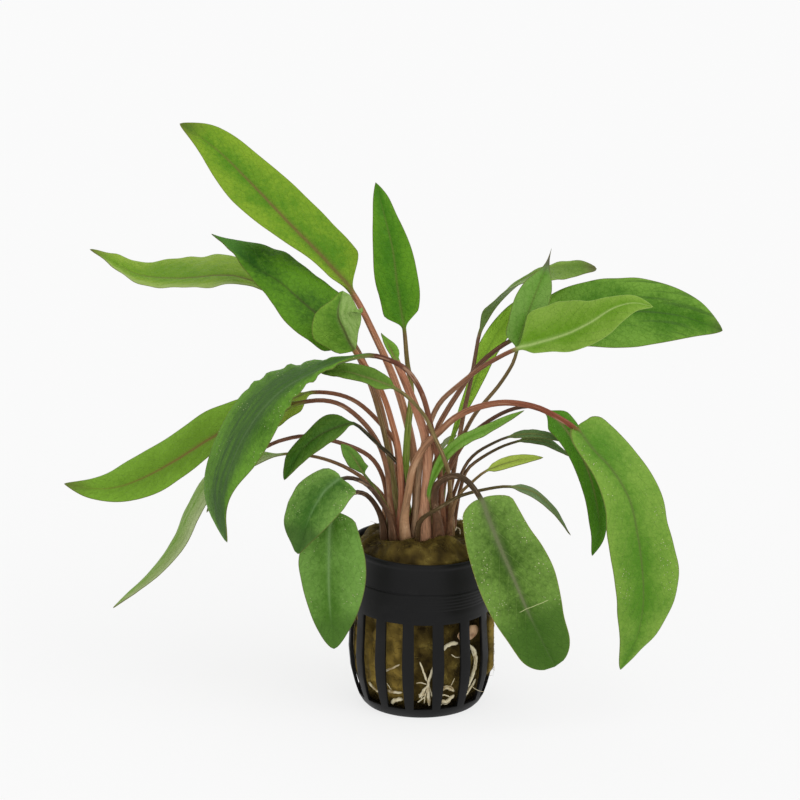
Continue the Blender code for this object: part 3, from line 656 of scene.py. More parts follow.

# %% [markdown]
# ## The stalk's skin
#
# The bare stalk fades from one tone at its foot to another at the blade. Darker and paler streaks run
# along it: partly the stripes of its ribbed, slightly see-through skin, partly painted shade and
# painted highlights that run along a lit round stalk.

# %% Leaf skin: stalk
stalk_tone = blend(leaf_skin, fade(leaf_skin, run, -1.0, 0.0), given["Stalk Foot"], given["Stalk Top"])
streak = noise(leaf_skin, 1.6, 3, stretched(2.4, 5.0, cloud))
# painted shade and highlight: the darker streaks are partly shade, the paler ones partly highlight, with
# the stripes of the skin
darker = blend(leaf_skin, 0.55, stalk_tone, (0.03, 0.02, 0.01, 1))
paler = blend(leaf_skin, 0.38, stalk_tone, screen(224, 190, 156))
stalk_tone = blend(leaf_skin, fade(leaf_skin, streak, 0.49, 0.64, 0.0, 0.75), stalk_tone, darker)
stalk_tone = blend(leaf_skin, fade(leaf_skin, streak, 0.32, 0.46, 0.8, 0.0), stalk_tone, paler)
skin_tone = blend(leaf_skin, blade, stalk_tone, green)
print("leaf skin: stalk, now", len(leaf_skin.nodes), "nodes")

# %% [markdown]
# ## Wet spots and a scratch
#
# Some leaves are still wet: small pale dots stand for the drops, in patches away from the midrib, and
# none near the tip. Their pale tone is a painted glint, with a lower roughness for the shine. They
# could be little domes of their own, but at this size a dot in the finish looks the same. The broad leaf
# at the front right has one fine pale scratch, a straight line that is drawn by its height and slope.

# %% Leaf skin: wet spots, scratch and relief
SCRATCH_SLOPE, SCRATCH_FROM, SCRATCH_TO = 0.38, 33.2, 43.9
SCRATCH_HEIGHT = 44.8 - SCRATCH_SLOPE * SCRATCH_FROM

spots = add_node(leaf_skin, "ShaderNodeTexVoronoi",
                 {"Vector": leaf_place, "Scale": 850.0, "Randomness": 1.0})
spot = fade(leaf_skin, spots.outputs["Distance"], 0.10, 0.24, 1.0, 0.0)
wet = fade(leaf_skin, noise(leaf_skin, 130, 2), 0.48, 0.58)
wet = times(leaf_skin, wet, fade(leaf_skin, share, 0.25, 0.75))
wet = times(leaf_skin, wet, fade(leaf_skin, run, 0.64, 0.74, 1.0, 0.0))
drop = times(leaf_skin, times(leaf_skin, spot, wet), times(leaf_skin, given["Drops"], blade))
# painted glint: the drops are painted a pale whitish green, where the real ones catch the light
skin_tone = blend(leaf_skin, times(leaf_skin, drop, 0.8), skin_tone, screen(208, 220, 160))

axes = add_node(leaf_skin, "ShaderNodeSeparateXYZ", {0: leaf_place}).outputs
off_line = calc(leaf_skin, "SUBTRACT", axes["Z"], times(leaf_skin, axes["X"], SCRATCH_SLOPE))
off_line = calc(leaf_skin, "ABSOLUTE", calc(leaf_skin, "SUBTRACT", off_line, SCRATCH_HEIGHT * MM))
scratch = times(leaf_skin, fade(leaf_skin, off_line, 0.00005, 0.00017, 1.0, 0.0),
                fade(leaf_skin, axes["X"], SCRATCH_FROM * MM, (SCRATCH_FROM + 1) * MM))
scratch = times(leaf_skin, scratch,
                fade(leaf_skin, axes["X"], (SCRATCH_TO - 1) * MM, SCRATCH_TO * MM, 1.0, 0.0))
scratch = times(leaf_skin, scratch, times(leaf_skin, given["Scratch"], blade))
scratch = times(leaf_skin, scratch, fade(leaf_skin, under, 0.3, 0.7, 1.0, 0.0))
skin_tone = blend(leaf_skin, times(leaf_skin, scratch, 0.7), skin_tone, screen(200, 206, 150))

rough = scaled(leaf_skin, grain, 0.25, 0.36)
rough = calc(leaf_skin, "SUBTRACT", rough, times(leaf_skin, drop, 0.3))
height = scaled(leaf_skin, vein_line, -0.3, 0.5)
height = calc(leaf_skin, "ADD", height, times(leaf_skin, net_line, -0.35))
height = calc(leaf_skin, "ADD", height, times(leaf_skin, grain, 0.35))
height = calc(leaf_skin, "ADD", height, times(leaf_skin, mottle, 0.6))
height = calc(leaf_skin, "ADD", height, times(leaf_skin, drop, 1.2))
finish_group(leaf_skin, skin_tone, rough, height)

# %% [markdown]
# ## A look for every leaf
#
# The leaves differ in age and in how much light they got: young ones are yellow-green, old ones deep
# green, some show a painted sheen. So each leaf has a look beside its form: its light and dark green, its
# underside, the tones of its midrib and edge, and those of its stalk, from near black to a pinkish
# tan. The midrib's width is in millimetres, its reach is the share of the blade at which it fades out.

# %% Looks
NO_SHEEN, NO_TIP = (2.0, 3.0), 2.0      # places off the leaf, where these tones never show
LEAF_RELIEF = 0.00025                   # metres, how deep veins and grain look
Look = namedtuple("Look", "light dark under rib stalk_top stalk_foot rib_width rib_reach veins drops "
                          "margin bloom bloom_at tip tip_at bloom_edge scratch",
                  defaults=((140, 152, 98), (112, 116, 62), (120, 96, 70), (104, 84, 60), 1.1, 0.7, 0.5,
                            0.0, (92, 90, 42), (150, 165, 120), NO_SHEEN, (70, 56, 30), NO_TIP, 0.8, 0.0))
leaf_pieces = []


def leaf_finish(look, name):
    """The skin material with one leaf's tones."""
    tones = {"Light": look.light, "Dark": look.dark, "Under": look.under, "Rib": look.rib,
             "Margin": look.margin, "Stalk Top": look.stalk_top, "Stalk Foot": look.stalk_foot,
             "Bloom": look.bloom, "Tip": look.tip}
    values = {key: screen(*tone) for key, tone in tones.items()}
    values |= {"Rib Width": look.rib_width, "Rib Reach": look.rib_reach, "Veins": look.veins,
               "Drops": look.drops, "Bloom From": look.bloom_at[0], "Bloom To": look.bloom_at[1],
               "Bloom Edge": look.bloom_edge, "Tip From": look.tip_at, "Scratch": look.scratch}
    return finish_from(name, leaf_skin, values, LEAF_RELIEF, Specular_IOR_Level=0.12)


def grow_leaves(rows):
    """Grows and paints the leaves of some rows; a leaf's number in the plant shifts its waves."""
    for leaf, look in rows:
        piece = grow_leaf(leaf, len(leaf_pieces))
        finish_piece(piece, leaf_finish(look, leaf.name + "_finish"), leaf.name)
        leaf_pieces.append(piece)
    faces = sum(len(piece.data.polygons) for piece in leaf_pieces)
    print(len(leaf_pieces), "leaves so far, with", faces, "faces")


print("a leaf's look has", len(Look._fields), "entries")

# %% [markdown]
# ## Leaves at the upper left
#
# The highest leaf is bright, broadest towards its tip, with a brownish midrib. Behind it a pale one
# lies nearly level and shows its wavy edge, and a darker one hangs between them. In front of these a
# short cupped leaf turns its face to the viewer. Each row was drawn from the real leaves: first the
# route of the stalk, then that of the midrib, then how far each side reaches out.
# Numbers made by chance would give a plant of the same kind, but not this one.

# %% Leaves at the upper left
grow_leaves([
    (Leaf("leaf_top_left", (-2.0, 1.0),
          [(-1.5, 0, 73.5), (-3.6, 1.5, 95), (-9.2, 4, 115.5), (-16.3, 8, 131.2), (-23.9, 11.8, 145.3)],
          [(-33.5, 15, 156.5), (-45.5, 19, 168), (-59, 25, 181), (-71.5, 31, 192), (-84.5, 38, 199.6)],
          [(0.3, -0.75, 0.6), (0.3, -0.6, 0.75)], 21, taper=0.75, thick=(3.5, 2.1), ripple=(0.12, 4, 1),
          cup=0.06,
          sides=((1.75, 1.2, 1.17, 1.13, 1.15, 1.33, 1.85), (0.5, 0.4, 0.68, 1.03, 1.26, 1.2, 0.85))),
     Look((123, 156, 35), (73, 123, 12), rib=(108, 96, 46), stalk_top=(166, 112, 82),
          stalk_foot=(184, 140, 108), rib_width=1.7, rib_reach=0.85, margin=(110, 112, 40),
          tip=(84, 74, 36), tip_at=0.88)),
    (Leaf("leaf_left_pale", (-6.0, 8.4),
          [(-9, 9, 70.5), (-11, 12, 88), (-15, 17, 105), (-22.5, 22, 122), (-32, 27, 133),
          (-44.5, 31, 137.5)],
          [(-56, 34, 142.3), (-67.5, 35.5, 145.2), (-85.5, 39.8, 143), (-100, 44.5, 143),
          (-111, 48.7, 147.4), (-118, 52.8, 150.2)],
          [(0, -0.2, 1), (0, -0.2, 1)], 21, taper=0.75, ripple=(0.4, 5, 1), cup=0.1,
          sides=((0.5, 1.05, 1.4, 1.7, 1.55, 1.1, 1.0), (0.4, 0.4, 1.0, 0.85, 0.85, 0.7, 0.25))),
     Look((142, 172, 60), (103, 145, 30), (138, 153, 92), (112, 104, 58), stalk_top=(124, 92, 64),
          stalk_foot=(160, 118, 88), rib_width=0.9, rib_reach=0.8, tip=(84, 72, 42), tip_at=0.89,
          bloom=(176, 190, 130), bloom_at=(-0.45, -0.95))),
    (Leaf("leaf_mid_left", (-7.6, 1.6),
          [(-9.8, 1.2, 80.5), (-12.5, 1, 95.5), (-16, 2, 109.5), (-19.5, 2, 119.5), (-23.5, 1, 128)],
          [(-31.5, 2, 136.5), (-40.5, 5, 143.5), (-49, 9, 150), (-58, 14, 154.5), (-65, 19, 159),
          (-73.5, 26, 163)],
          [(0.2, -0.7, 0.7), (0.3, -0.6, 0.7)], 22, widest=0.36, taper=1.05, thick=(2.2, 1.6),
          ripple=(0.3, 5, 1), cup=0.2,
          sides=((1.3, 1.3, 1.1, 1.15, 1.5, 1.75, 0.9), (1.25, 1.0, 0.95, 0.75, 0.6, 0.35, 0.25))),
     Look((88, 136, 24), (30, 74, 6), rib=(62, 78, 28), stalk_top=(112, 72, 52),
          stalk_foot=(158, 150, 92), rib_width=0.9, rib_reach=0.6, tip=(86, 138, 54), tip_at=0.72)),
    (Leaf("leaf_mid_front", (-7.8, -5.5),
          [(-7, -7, 76), (-8, -8, 94.5), (-10.5, -8.5, 105.5), (-13, -8, 113.5), (-16.5, -7, 120.5),
          (-23.3, -6, 130)],
          [(-26.5, -7, 137), (-28.8, -8, 143.5), (-27.1, -5, 151)],
          [(0.3, -0.95, 0.2), (0.2, -0.95, 0.3)], 20, widest=0.5, taper=0.5, fold=-14, thick=(2.4, 1.8),
          ripple=(0.3, 3, 1), cup=-0.1, lobe=1.5,
          sides=((0.3, 0.5, 0.78, 0.97, 0.97, 0.9, 0.8), (0.8, 0.9, 1.0, 1.1, 0.85, 0.35, 0.3))),
     Look((110, 150, 48), (64, 108, 20), rib=(70, 78, 34), stalk_top=(160, 104, 72),
          stalk_foot=(176, 116, 88), rib_width=1.1, rib_reach=0.9, bloom=(138, 166, 92),
          bloom_at=(0.02, 0.3))),
])

# %% [markdown]
# ## Leaves at the left
#
# The longest leaves lean out to the left. A dark ruffled one hangs down in front, another lies out
# flat behind it, a narrow greyish one points to the lower left, and two small ones fill the gap by the
# stalks. Where a leaf turns over on its way, its upper side is given at several places.

# %% Leaves at the left
grow_leaves([
    (Leaf("leaf_long_dark", (7.4, -3.2),
          [(7, -4, 75), (6, -5.5, 88), (3.2, -9.5, 103.5), (0, -11, 116), (-5, -12, 124.5),
          (-11, -13, 128.5), (-18, -14, 130.5)],
          [(-27, -15.5, 129.3), (-37.5, -18, 125.5), (-48, -21, 120), (-56.5, -24, 111.5),
          (-63.5, -26, 99.5), (-68, -27, 84.5), (-67, -27, 67.2)],
          [(-0.1, 0.1, 1), (-0.3, -0.35, 0.9), (-0.6, -0.8, 0.3), (-0.8, -0.6, 0.1)], 21, widest=0.5,
          taper=0.75, thick=(2.2, 1.7), ripple=(0.6, 13, 0.5), cup=0.2,
          sides=((0.9, 1.3, 1.38, 1.18, 1.05, 1.4, 1.9), (0.4, 0.45, 0.8, 1.05, 0.98, 0.5, 0.1))),
     Look((104, 150, 48), (58, 98, 22), rib=(86, 114, 66), stalk_top=(92, 52, 38),
          stalk_foot=(166, 114, 86), rib_width=0.6, rib_reach=0.75, veins=0.8, drops=1.0,
          bloom=(64, 92, 48), bloom_at=(-0.4, 0.1), bloom_edge=0.25)),
    (Leaf("leaf_left_long", (-9.5, -1.8),
          [(-11, -2.5, 74.5), (-12, -3, 85.5), (-14.5, -2.5, 94), (-19.5, -4, 102.5), (-27, -6.5, 110),
          (-33.5, -8, 112.5), (-41, -10, 112.5)],
          [(-48, -10.5, 110.5), (-59.5, -10, 105.5), (-70.5, -9, 100.5), (-85.5, -6, 90),
          (-96.5, -4, 83.2), (-106.5, -2, 78.9), (-115.5, 0, 77.8), (-125, 2, 79)],
          [(0, -0.6, 0.8), (0, -0.6, 0.8)], 21, thick=(2.1, 1.5), ripple=(0.15, 4, 1), cup=0.1,
          sides=((1.0, 1.1, 1.05, 1.0, 1.12, 1.42, 1.1), (0.4, 0.5, 0.55, 0.76, 1.05, 1.0, 1.15))),
     Look((114, 156, 44), (93, 130, 28), rib=(112, 94, 44), stalk_top=(114, 74, 54),
          stalk_foot=(168, 122, 92), rib_width=1.5, rib_reach=0.85, tip=(84, 76, 44), tip_at=0.88)),
    (Leaf("leaf_left_hidden", (-8.6, 5.4),
          [(-8.5, 5, 79.5), (-9, 5.5, 92.5), (-14, 5.5, 99.5), (-21.5, 4, 107.5), (-28.5, 2, 111.5),
          (-37.8, 0, 113)],
          [(-44, 0, 111), (-51, 1, 106), (-58, 2, 98.5), (-63.5, 4, 89), (-66.5, 5, 80)],
          [(-0.2, -0.5, 0.8), (-0.5, -0.6, 0.3)], 12, thick=(2.0, 1.4), ripple=(0.3, 4, 1),
          sides=((0.3, 0.5, 1, 1, 1, 1, 1), (1.9, 1.4, 1.1, 1.0, 1.0, 1.0, 1.0))),
     Look((158, 186, 62), (134, 162, 46), stalk_top=(134, 88, 64), stalk_foot=(162, 114, 84),
          rib_width=0.9)),
    (Leaf("leaf_narrow_left", (-12.8, -0.2),
          [(-13.2, 0.4, 74), (-16, 0.5, 78), (-21, 2, 81.5), (-28.5, 5, 85), (-37.5, 8, 87),
          (-48, 11, 87)],
          [(-60, 14, 82.5), (-73, 17, 73), (-80, 18, 62), (-85, 18, 51.5), (-94.5, 18, 39.5),
          (-110, 18, 27)],
          [(-0.2, -0.4, 0.9), (-0.6, -0.3, 0.7)], 10, thick=(1.8, 1.0), ripple=(0.1, 4, 1),
          sides=((1.3, 1.6, 1.8, 1.5, 1.45, 1.5, 1.5), (0.7, 0.7, 0.7, 0.65, 0.8, 0.6, 0.5))),
     Look((177, 192, 138), (142, 163, 96), rib=(150, 170, 112), stalk_top=(122, 96, 64),
          stalk_foot=(152, 106, 80), rib_width=0.6, bloom=(112, 152, 50), bloom_at=(0.25, 0.7))),
    (Leaf("leaf_small_dark", (-4.8, -2.5),
          [(-6, -4, 78.5), (-7.5, -5, 87.5), (-11, -5.5, 92), (-15, -6.5, 96), (-20.5, -8, 102),
          (-23.5, -9, 104.5)],
          [(-30, -11, 103.5), (-36, -13, 101), (-42, -15, 96), (-47.5, -17, 86.5)],
          [(-0.2, -0.8, 0.6), (-0.4, -0.8, 0.4)], 12, taper=0.7, thick=(1.8, 1.2), ripple=(0.15, 3, 1),
          cup=0.15, sides=((0.8, 1.15, 0.8, 0.6, 0.7, 0.95, 0.9), (0.4, 0.7, 0.76, 0.8, 0.77, 0.7, 0.5))),
     Look((80, 115, 36), (46, 88, 17), rib=(60, 78, 30), stalk_top=(42, 44, 26), stalk_foot=(84, 62, 44),
          rib_width=0.6)),
    (Leaf("leaf_small_mid", (-12.2, -4.0),
          [(-11.5, -6, 71), (-15, -8, 79), (-18, -9, 83.5), (-20, -10, 86.5)],
          [(-24, -11, 93.5), (-28, -11.5, 98)],
          [(0, -0.9, 0.4), (0, -0.9, 0.4)], 8, thick=(1.6, 0.9), ripple=(0.1, 3, 1),
          sides=((1.3, 0.65, 0.6, 0.6, 0.6, 0.7, 0.75), (0.4, 0.5, 0.8, 0.8, 0.85, 0.97, 0.85))),
     Look((100, 138, 54), (70, 114, 32), stalk_top=(96, 110, 50), stalk_foot=(122, 100, 60),
          rib_width=0.4)),
])

# %% [markdown]
# ## Leaves at the front left and in the middle
#
# Two broad, short leaves hang over the rim at the front left. They are wet, and their bases reach
# back past the stalk like the ears of a heart. One leaf stands upright in the middle, a young one is
# still half rolled up beside it, and a narrow one crosses in front of the stalks.

# %% Leaves at the front left and in the middle
grow_leaves([
    (Leaf("leaf_round_front", (-10.0, -8.8),
          [(-11, -10, 70.5), (-15.5, -12.5, 79.5), (-19.5, -14.5, 84.5), (-24, -17.5, 87.4),
          (-27.8, -20, 87.9)],
          [(-32.9, -25, 85.6), (-37.3, -30, 80), (-40.3, -34, 73.4), (-42.4, -37, 66.5)],
          [(-0.1, -0.7, 0.7), (-0.5, -0.75, 0.3)], 21, widest=0.4, taper=0.5, thick=(2.1, 1.4),
          ripple=(0.15, 3, 1), cup=0.12, lobe=4.5, rise=0.5,
          sides=((0.6, 0.8, 0.95, 1.0, 1.1, 1.1, 0.7), (0.8, 0.88, 0.97, 0.95, 0.93, 0.78, 0.5))),
     Look((116, 155, 70), (54, 96, 26), rib=(100, 134, 78), stalk_top=(58, 46, 34),
          stalk_foot=(104, 74, 54), rib_width=1.0, rib_reach=0.6, drops=1.2, tip=(56, 88, 32),
          tip_at=0.62)),
    (Leaf("leaf_hanging_left", (-13.0, -7.0),
          [(-14, -8, 70), (-18, -12, 78.5), (-22.3, -16.5, 82), (-26.5, -19.5, 81.2), (-30.2, -23, 77.3)],
          [(-31.6, -25.5, 71.2), (-32, -27, 60.8), (-32, -27.5, 50), (-31.4, -27, 39),
          (-30.4, -26.5, 28)],
          [(0, -0.7, 0.7), (-0.1, -1, 0.1), (0, -1, 0)], 24, widest=0.36, taper=0.65, thick=(2.1, 1.4),
          ripple=(0.15, 3, 1), cup=0.1, lobe=4.0, rise=0.6,
          sides=((0.5, 0.74, 0.91, 0.89, 0.86, 0.88, 0.9), (0.65, 0.92, 1.1, 1.2, 1.24, 1.24, 1.1))),
     Look((110, 151, 66), (64, 105, 24), rib=(108, 142, 80), stalk_top=(50, 40, 28),
          stalk_foot=(90, 64, 46), rib_width=1.2, rib_reach=0.8, drops=1.0, tip=(62, 98, 28), tip_at=0.68)),
    (Leaf("leaf_top_centre", (-5.0, 3.0),
          [(-5.8, 1, 76), (-5.5, -1.5, 87), (-4.8, -1, 99.5), (-3.5, 4.5, 112), (-5, 7, 122),
          (-6, 9, 133)],
          [(-7, 10, 139), (-8.5, 12, 148.5), (-10, 15, 160), (-12.5, 18, 170), (-16, 24, 182)],
          [(0.1, -0.95, 0.25), (0.1, -0.95, 0.25)], 15, widest=0.34, taper=0.9, thick=(3.4, 1.4),
          ripple=(0.1, 3, 1), cup=0.1,
          sides=((1.0, 1.05, 1.0, 0.96, 0.92, 0.95, 1.4), (1.2, 0.9, 1.02, 1.04, 1.04, 0.96, 1.1))),
     Look((90, 139, 25), (57, 110, 11), rib=(88, 112, 40), stalk_top=(112, 92, 54),
          stalk_foot=(150, 196, 74), rib_width=0.7, rib_reach=0.9, veins=0.3)),
    (Leaf("leaf_young", (0.9, -7.6),
          [(1.2, -7.6, 75), (2, -8, 88.5), (1.2, -8, 99), (-1.9, -7, 109), (-6, -6.5, 119.5),
          (-8.8, -6, 126)],
          [(-11.2, -5.6, 131), (-14, -5, 136)],
          [(0.6, -0.7, 0.4), (0.6, -0.7, 0.4)], 5, fold=20, thick=(3.8, 2.6), ripple=(0.1, 2, 1),
          sides=((1.2, 1.1, 1.1, 1.0, 0.8, 0.6, 0.4), (0.5, 0.6, 0.7, 0.8, 0.8, 0.8, 0.6))),
     Look((108, 152, 48), (84, 124, 34), rib=(122, 116, 66), stalk_top=(176, 118, 90),
          stalk_foot=(196, 146, 114), rib_width=0.4)),
    (Leaf("leaf_narrow_front", (10.6, -2.6),
          [(10, -5, 75.5), (9.5, -8.5, 85.5), (7.5, -12.5, 93.5), (5, -15.8, 100.5), (1, -16.5, 109.5),
          (-5, -16.5, 116.5), (-9, -15.5, 119)],
          [(-12.5, -14.5, 120.5), (-19.5, -13, 122.5), (-26.5, -11.5, 124), (-35.5, -10, 123.5)],
          [(0, -0.7, 0.7), (0, -0.7, 0.7)], 7, thick=(1.8, 1.2), ripple=(0.15, 4, 1),
          sides=((1.0, 1.1, 1.2, 1.2, 1.2, 1.2, 1.2), (0.8, 1.1, 0.65, 0.7, 1.0, 1.0, 1.4))),
     Look((104, 140, 50), (78, 114, 34), stalk_top=(112, 102, 58), stalk_foot=(152, 120, 84),
          rib_width=0.5)),
])

# %% [markdown]
# ## Leaves at the upper right
#
# A thin leaf arches over at the back and is seen nearly edge-on. In front of it lies the largest
# one, with painted shade in its creases, and over that a smaller bright one whose midrib is paler than
# its green. A narrow strap rises behind the stalks, and a small upright leaf ends in a tip as thin as a
# hair.

# %% Leaves at the upper right
grow_leaves([
    (Leaf("leaf_right_arch", (7.2, 4.2),
          [(9.5, 5, 72), (12.5, 6, 90), (15, 8, 104), (17.6, 12, 115.5), (19.2, 15, 124),
          (20.4, 17.3, 129.5)],
          [(23.6, 20.5, 135.5), (28, 24, 140.3), (34.5, 28, 145), (43.5, 32, 148.5), (53, 35, 149),
          (62, 38, 147)],
          [(-0.5, 0.6, 0.6), (0.1, -0.6, 0.8)], 12, widest=0.5, taper=0.55, thick=(1.9, 1.3),
          ripple=(0.2, 4, 1),
          sides=((2.8, 1.6, 2.2, 2.3, 1.9, 1.5, 0.9), (0.9, 1.1, 0.8, 0.4, 0.3, 0.55, 0.85))),
     Look((120, 149, 64), (88, 120, 37), (110, 134, 74), stalk_top=(104, 78, 60),
          stalk_foot=(158, 114, 84), rib_width=0.5, veins=0.4, tip=(84, 74, 52), tip_at=0.84)),
    (Leaf("leaf_right_large", (1.0, -1.8),
          [(2, -2, 76.5), (3, -2.5, 90), (5.5, -0.5, 100), (8.5, 1, 105.5), (12, 3.5, 110.5),
          (17, 7, 117), (22.5, 10, 122.5), (31, 14, 127.5)],
          [(45, 18, 132), (59, 21, 135), (76.5, 25, 135), (91, 28, 132.5), (106.5, 32, 126)],
          [(0, -0.75, 0.65), (0, -0.75, 0.65)], 26, widest=0.5, taper=0.8, thick=(2.3, 1.6),
          ripple=(0.15, 4, 1), cup=0.12,
          sides=((1.1, 0.98, 1.04, 1.1, 1.05, 0.97, 0.8), (0.95, 1.1, 1.03, 1.0, 1.05, 1.02, 1.2))),
     Look((108, 150, 50), (57, 105, 6), rib=(58, 92, 28), stalk_top=(92, 60, 44),
          stalk_foot=(170, 122, 92), rib_width=1.0, rib_reach=0.95, veins=-1.0, tip=(70, 66, 40),
          tip_at=0.9)),
    (Leaf("leaf_right_front", (-2.2, -5.8),
          [(-1.5, -5.5, 75.5), (0, -4.8, 92), (3, -4.5, 103.5), (6.5, -5, 111), (12.5, -5.5, 117),
          (20, -6.5, 123.5), (27, -7, 128), (32.5, -8, 131)],
          [(39.5, -9, 133.4), (50, -11, 137.4), (58, -12.5, 142), (65, -13, 146.8), (72, -13.5, 149),
          (79, -14, 147.8)],
          [(-0.1, -0.7, 0.7), (-0.1, -0.7, 0.7)], 17, widest=0.45, thick=(2.3, 1.5),
          ripple=(0.15, 3.5, 1), cup=0.15,
          sides=((0.8, 0.6, 0.86, 0.92, 1.02, 1.05, 0.8), (2.8, 1.9, 1.62, 1.24, 0.82, 0.66, 0.8))),
     Look((126, 160, 60), (92, 136, 20), rib=(158, 182, 106), stalk_top=(126, 80, 58),
          stalk_foot=(190, 158, 124), rib_width=1.0, rib_reach=1.0, margin=(140, 166, 84))),
    (Leaf("leaf_strap_right", (3.5, 7.2),
          [(7, 4.5, 71), (8.6, 5.5, 87)],
          [(12.2, 10, 97.5), (16.2, 14, 106), (20, 17, 114.5), (23.5, 18, 123.5), (28.5, 20, 131.5),
          (38, 24, 141.5)],
          [(-0.4, -0.8, 0.3), (-0.4, -0.8, 0.3)], 10, widest=0.65, ripple=(0.1, 4, 1), thick=(2.0, 1.8),
          sides=((0.8, 0.75, 0.7, 0.7, 0.8, 1, 1), (0.8, 0.75, 0.7, 0.75, 0.8, 0.8, 1))),
     Look((156, 204, 64), (132, 176, 48), rib=(110, 150, 50), stalk_top=(126, 152, 70),
          stalk_foot=(176, 160, 116), rib_width=0.5)),
    (Leaf("leaf_upright_right", (3.4, 3.0),
          [(6.5, 4, 72.5), (10.5, 4, 87), (14.5, 4, 96), (18.5, 3, 104), (22.5, 2, 109.5), (27, 1, 115.5),
          (31.5, 1, 123), (33, 2, 127.5)],
          [(34.4, 3, 132.8), (37.5, 5, 142), (41.3, 9, 151), (43.6, 13, 156.2), (45.2, 16.5, 160.4)],
          [(-0.1, -0.9, 0.4), (-0.1, -0.9, 0.4)], 15, widest=0.45, thick=(1.8, 1.2), ripple=(0.15, 3, 1),
          cup=-0.1,
          sides=((1.3, 0.86, 0.81, 0.79, 0.72, 0.3, 0.08), (1.4, 0.86, 0.82, 0.8, 0.65, 0.15, 0.06))),
     Look((112, 151, 66), (80, 132, 28), rib=(92, 120, 46), stalk_top=(112, 96, 60),
          stalk_foot=(152, 110, 82), rib_width=0.7, rib_reach=0.9, tip=(98, 84, 88), tip_at=0.72)),
])

# %% [markdown]
# ## Leaves at the right
#
# The big leaf at the right hangs from a long red-brown stalk that arches over half the plant, and
# another hangs close behind it. A bright strap and two very thin leaves spread out below them.

# %% Leaves at the right
grow_leaves([
    (Leaf("leaf_right_big", (-5.5, -9.5),
          [(-6, -10, 69.5), (-4.5, -10, 80.5), (-3, -10.5, 89), (1, -11.5, 97), (6.5, -12.5, 103),
          (11.5, -13.5, 108), (18.5, -15, 112), (28.5, -17, 114.5), (39, -19, 113.5), (47.3, -21, 110),
          (53, -22, 106.2)],
          [(57.5, -25, 101.4), (65.4, -27.5, 93.2), (71.1, -29, 83.3), (74, -30, 71), (75.8, -30, 58.4),
          (76.3, -30, 45.5), (74.2, -29, 32.5), (69, -27, 20.5)],
          [(0.3, -0.6, 0.7), (0.3, -0.95, 0.1)], 24, widest=0.45, taper=0.75, thick=(2.8, 1.9),
          ripple=(0.3, 5, 1), cup=0.14, lobe=11, rise=0.6,
          sides=((0.35, 0.66, 0.93, 1.02, 1.09, 1.25, 1.15), (1.3, 1.03, 1.02, 1.08, 1.48, 1.28, 0.6))),
     Look((120, 156, 59), (76, 124, 26), rib=(88, 112, 46), stalk_top=(126, 66, 46),
          stalk_foot=(176, 136, 102), rib_width=0.9, rib_reach=0.9, veins=0.5, drops=1.0)),
    (Leaf("leaf_right_behind", (4.0, -1.0),
          [(5, -1, 74), (10.5, -1, 87), (16, -1, 96.5), (23, -2, 103), (30.5, -3, 107.5),
          (37.5, -3.5, 109), (42, -4.5, 108)],
          [(47.5, -7, 104.6), (53.4, -10, 97), (58, -12, 87), (61, -13, 74.5), (61.8, -13, 65.1),
          (59.3, -13, 57.4)],
          [(0.3, -0.8, 0.3), (0.3, -0.8, 0.3)], 14, widest=0.5, thick=(1.7, 1.3), ripple=(0.1, 4, 1),
          cup=0.15, rise=0.7,
          sides=((1.3, 0.74, 0.63, 0.64, 0.62, 0.92, 1.1), (1.2, 0.75, 0.7, 0.6, 0.7, 0.65, 0.75))),
     Look((82, 136, 30), (62, 111, 14), stalk_top=(76, 52, 40), stalk_foot=(146, 100, 74), rib_width=0.7,
          drops=0.3)),
    (Leaf("leaf_green_strap", (4.0, -5.6),
          [(3.4, -7.5, 75), (2.6, -9.5, 78.5)],
          [(3.6, -10, 84), (7.8, -9.7, 92.6), (14, -8.5, 98), (21.9, -7.5, 101.6), (28.8, -7.5, 105.3),
          (35.5, -7.5, 108.8)],
          [(-0.2, -0.7, 0.7), (-0.2, -0.7, 0.7)], 4.6, widest=0.5, thick=(2.4, 1.8), ripple=(0.2, 4, 1)),
     Look((120, 162, 68), (92, 142, 38), rib=(88, 136, 34), stalk_top=(140, 140, 76),
          stalk_foot=(150, 112, 82), rib_width=0.4)),
    (Leaf("leaf_thin_right_upper", (8.2, 0.6),
          [(9.5, 0, 70), (12.5, -0.5, 79.5), (15.5, -1, 87), (19, -2, 91.5), (24, -3, 95), (30, -4, 98)],
          [(37.5, -5, 99.5), (44, -6, 99), (50.5, -7, 97)],
          [(0, -0.5, 0.85), (0, -0.5, 0.85)], 4, thick=(1.6, 0.9), ripple=(0.1, 3, 1)),
     Look((96, 122, 72), (78, 104, 54), stalk_top=(76, 66, 44), stalk_foot=(132, 92, 70), rib_width=0.4)),
    (Leaf("leaf_thin_right_lower", (11.0, 1.0),
          [(12, 1, 69.5), (14, 1, 79), (16, 1, 84.5), (20.5, 1, 88.5), (27.5, 0, 93), (33.5, -1, 95.5)],
          [(37.5, -2, 96.5), (44, -3, 95.5), (51.5, -4, 91)],
          [(0, -0.5, 0.85), (0, -0.5, 0.85)], 4, thick=(1.6, 0.9), ripple=(0.1, 3, 1)),
     Look((100, 128, 76), (78, 106, 54), stalk_top=(86, 76, 48), stalk_foot=(132, 92, 70), rib_width=0.4)),
])

# %% [markdown]
# ## The last leaves
#
# A small yellow leaf and a narrow grey-green one lie low at the right. The broad leaf at the front
# right hangs over the rim, wet and scratched. The last two are mostly hidden behind the others.

